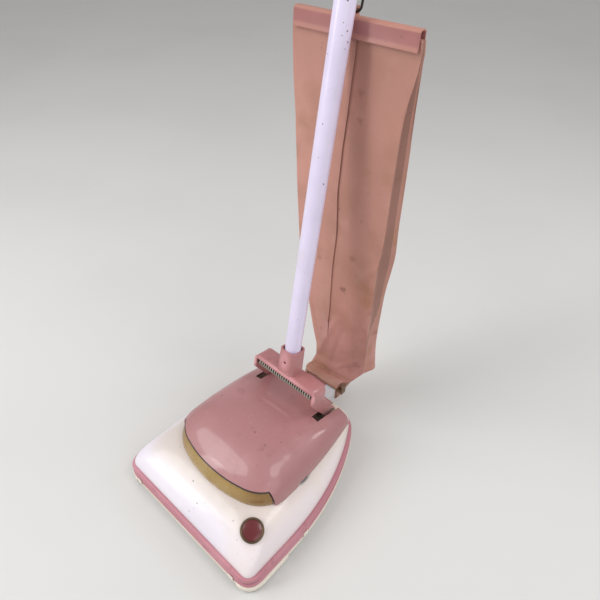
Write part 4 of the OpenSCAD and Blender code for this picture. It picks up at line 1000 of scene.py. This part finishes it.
def bag_ring(row):
    """One ring of the bag: the front from left to right, the right side, the back and the left side."""
    yf, hf, yb, hb, xlf, xrf, xlb, xrb, gl, gr = row
    full = step(*SWELL_TOP, hf) * step(*SWELL_FOOT, hf)
    lap = LAP * step(*LAP_TOP, hf) * step(*LAP_FOOT, hf)
    seam = float(np.interp(hf, PLEAT_H, PLEAT_X))
    front = [(xlf + (seam - xlf) * i / LEFT_N, True) for i in range(LEFT_N + 1)]
    front += [(seam + SEAM_STEP + (xrf - seam - SEAM_STEP) * i / RIGHT_N, False) for i in range(RIGHT_N)]
    ring = []
    for x, left in front:
        u = min(max((x - xlf) / (xrf - xlf), 0.0), 1.0)
        swell = FRONT_SWELL * full * math.sin(math.pi * u) ** SWELL_POWER
        over = lap * math.exp((x - seam) / LAP_FADE) if left else 0.0
        ring.append((x, yf - swell - over - wrinkle(x, hf, FRONT), hf))
    ring += gusset((xrf, yf, hf), gr, (xrb, yb, hb), RIGHT)
    for i in range(BACK_N):
        u = i / BACK_N
        x = xrb + (xlb - xrb) * u
        swell = BACK_SWELL * full * math.sin(math.pi * u) ** SWELL_POWER
        y = yb + min(swell, max(0.0, BAG_REAR - yb)) + min(0.0, wrinkle(x, hb, BACK))
        ring.append((x, y, hb))
    ring += gusset((xlb, yb, hb), gl, (xlf, yf, hf), LEFT)
    tilt = NECK_TILT * step(*TILT_SPAN, hf) * step(*TILT_SPAN_Y, yf)
    sunk = CLIP_SINK * step(*SINK_SPAN, hf)
    return [(x, y, h + tilt * x - sunk * step(*SINK_SPAN_X, x) + SEAM_Z) for x, y, h in ring]


def paint_fold_shade(mesh, around):
    """Paints shade on the pleat's step and on most of each gusset, by the column of each face."""
    mesh.materials.append(VINYL_FOLD_SHADE)
    mesh.materials.append(VINYL_SEAM_SHADE)
    first = LEFT_N + 1 + RIGHT_N
    second = first + GUSSET_N + BACK_N
    for face in mesh.polygons:
        if len(face.vertices) != 4:
            continue
        h = face.center.z * MM - SEAM_Z
        columns = sorted(v % around for v in face.vertices)
        column = columns[0] if columns[-1] - columns[0] == 1 else around - 1
        if column == LEFT_N and PLEAT_LOW < h < PLEAT_HIGH:
            face.material_index = SEAM_SHADE_INDEX if h > PLEAT_DARK_FROM else FOLD_SHADE_INDEX
        dark = GUSSET_DARK * step(*GUSSET_TAPER, h)
        on_right = first + 1 <= column < first + dark
        on_left = second + GUSSET_N - dark <= column < second + GUSSET_N - 1
        if on_right or on_left:
            face.material_index = FOLD_SHADE_INDEX


def make_bag():
    rings = [bag_ring(row) for row in catmull(BAG_KEYS, BAG_SUB)]
    # The neck's end is drawn in and tucked back into the bag
    mid_z = NECK_H + SEAM_Z
    inner = [(x * NECK_SHARE_X, y, mid_z + (z - mid_z) * NECK_SHARE_Z) for x, y, z in rings[-1]]
    rings.append(inner)
    rings.append([(x, y + NECK_TUCK, z) for x, y, z in inner])
    mesh = lofted("bag_vinyl", list(reversed(rings)), cap_last=True)
    obj = add_piece("bag_vinyl", mesh, "bag", crisp=70.0)
    paint_fold_shade(mesh, len(rings[0]))
    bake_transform(obj)


make_body()
make_band()
make_hood()
make_lens()
make_spring()
make_bag()
rounded("base_pan", 0.3, PAN)
rounded("medallion_bezel", 0.4)
rounded("medallion_disc", 0.25)
rounded("yoke", 0.8, YOKE_PINK, segments=3)
rounded("bag_clip", 0.6, CLIP_PINK)
rounded("bag_spout", 0.4, SPOUT)
rounded("bag_clamp", 0.35)
rounded("hanger_band", 0.3)

# ---------------------------------------------------------------- floor, light and camera

FLOOR = 6.0  # half width in metres
SKY_COLOUR, SKY_STRENGTH = (1.0, 1.0, 1.0, 1.0), 0.5
# Area lamps: name, place, aim, width in metres, power in watts, and a strip's height
LAMPS = [
    ("key_light", (-0.72, -0.76, 1.24), (0.0, 0.0, 0.15), 1.0, 10.0, None),
    ("strip_light", (-0.62, -1.02, 0.66), (0.0, 0.06, 0.35), 0.26, 3.0, 0.8),
    ("fill_light", (1.15, -0.35, 0.9), (0.0, 0.0, 0.15), 1.3, 4.4, None),
    ("right_light", (0.53, 0.22, 1.2), (0.0, 0.0, 0.1), 0.52, 2.9, None),
    ("back_light", (0.62, 0.86, 0.88), (0.0, 0.05, 0.15), 0.3, 1.6, None),
]
# The photo's camera: place, turn in degrees about X and Z, lens and sensor width
EYE = place(246.3, -105.0, 507.6)
EYE_TILT, EYE_TURN = 49.22, 42.40
LENS, SENSOR = 31.25, 36.0


def add_floor():
    corners = [(-FLOOR, -FLOOR, 0), (FLOOR, -FLOOR, 0), (FLOOR, FLOOR, 0), (-FLOOR, FLOOR, 0)]
    mesh = mesh_from("floor", corners, [(0, 1, 2, 3)])
    floor = add_object("floor", mesh)
    paint = Painter("floor_pale", (214, 213, 211))
    paint.mottle((208, 207, 205), 3.0, 0.4, 0.7, 0.5)
    mesh.materials.append(paint.rough(0.75, 0.85).bump(120.0, 0.1, 0.1).done())


def add_world():
    world = bpy.data.worlds.new("studio")
    bpy.context.scene.world = world
    world.use_nodes = True
    sky = world.node_tree.nodes["Background"]
    sky.inputs["Color"].default_value = SKY_COLOUR
    sky.inputs["Strength"].default_value = SKY_STRENGTH


def add_lamp(name, where, aim, size, power, tall):
    """An area lamp, round, or a tall strip where it has a height of its own."""
    light = bpy.data.lights.new(name, "AREA")
    light.shape = "ELLIPSE" if tall else "DISK"
    light.size = size
    if tall:
        light.size_y = tall
    light.energy = power
    obj = add_object(name, light)
    obj.location = where
    obj.rotation_euler = (Vector(aim) - Vector(where)).to_track_quat("-Z", "Y").to_euler()


def add_camera():
    camera = bpy.data.cameras.new("camera")
    camera.lens = LENS
    camera.sensor_width = SENSOR
    eye = add_object("camera", camera)
    eye.location = EYE
    eye.rotation_euler = (math.radians(EYE_TILT), 0.0, math.radians(EYE_TURN))
    bpy.context.scene.camera = eye


add_floor()
add_world()
for lamp in LAMPS:
    add_lamp(*lamp)
add_camera()
bpy.context.scene.view_settings.view_transform = "Standard"
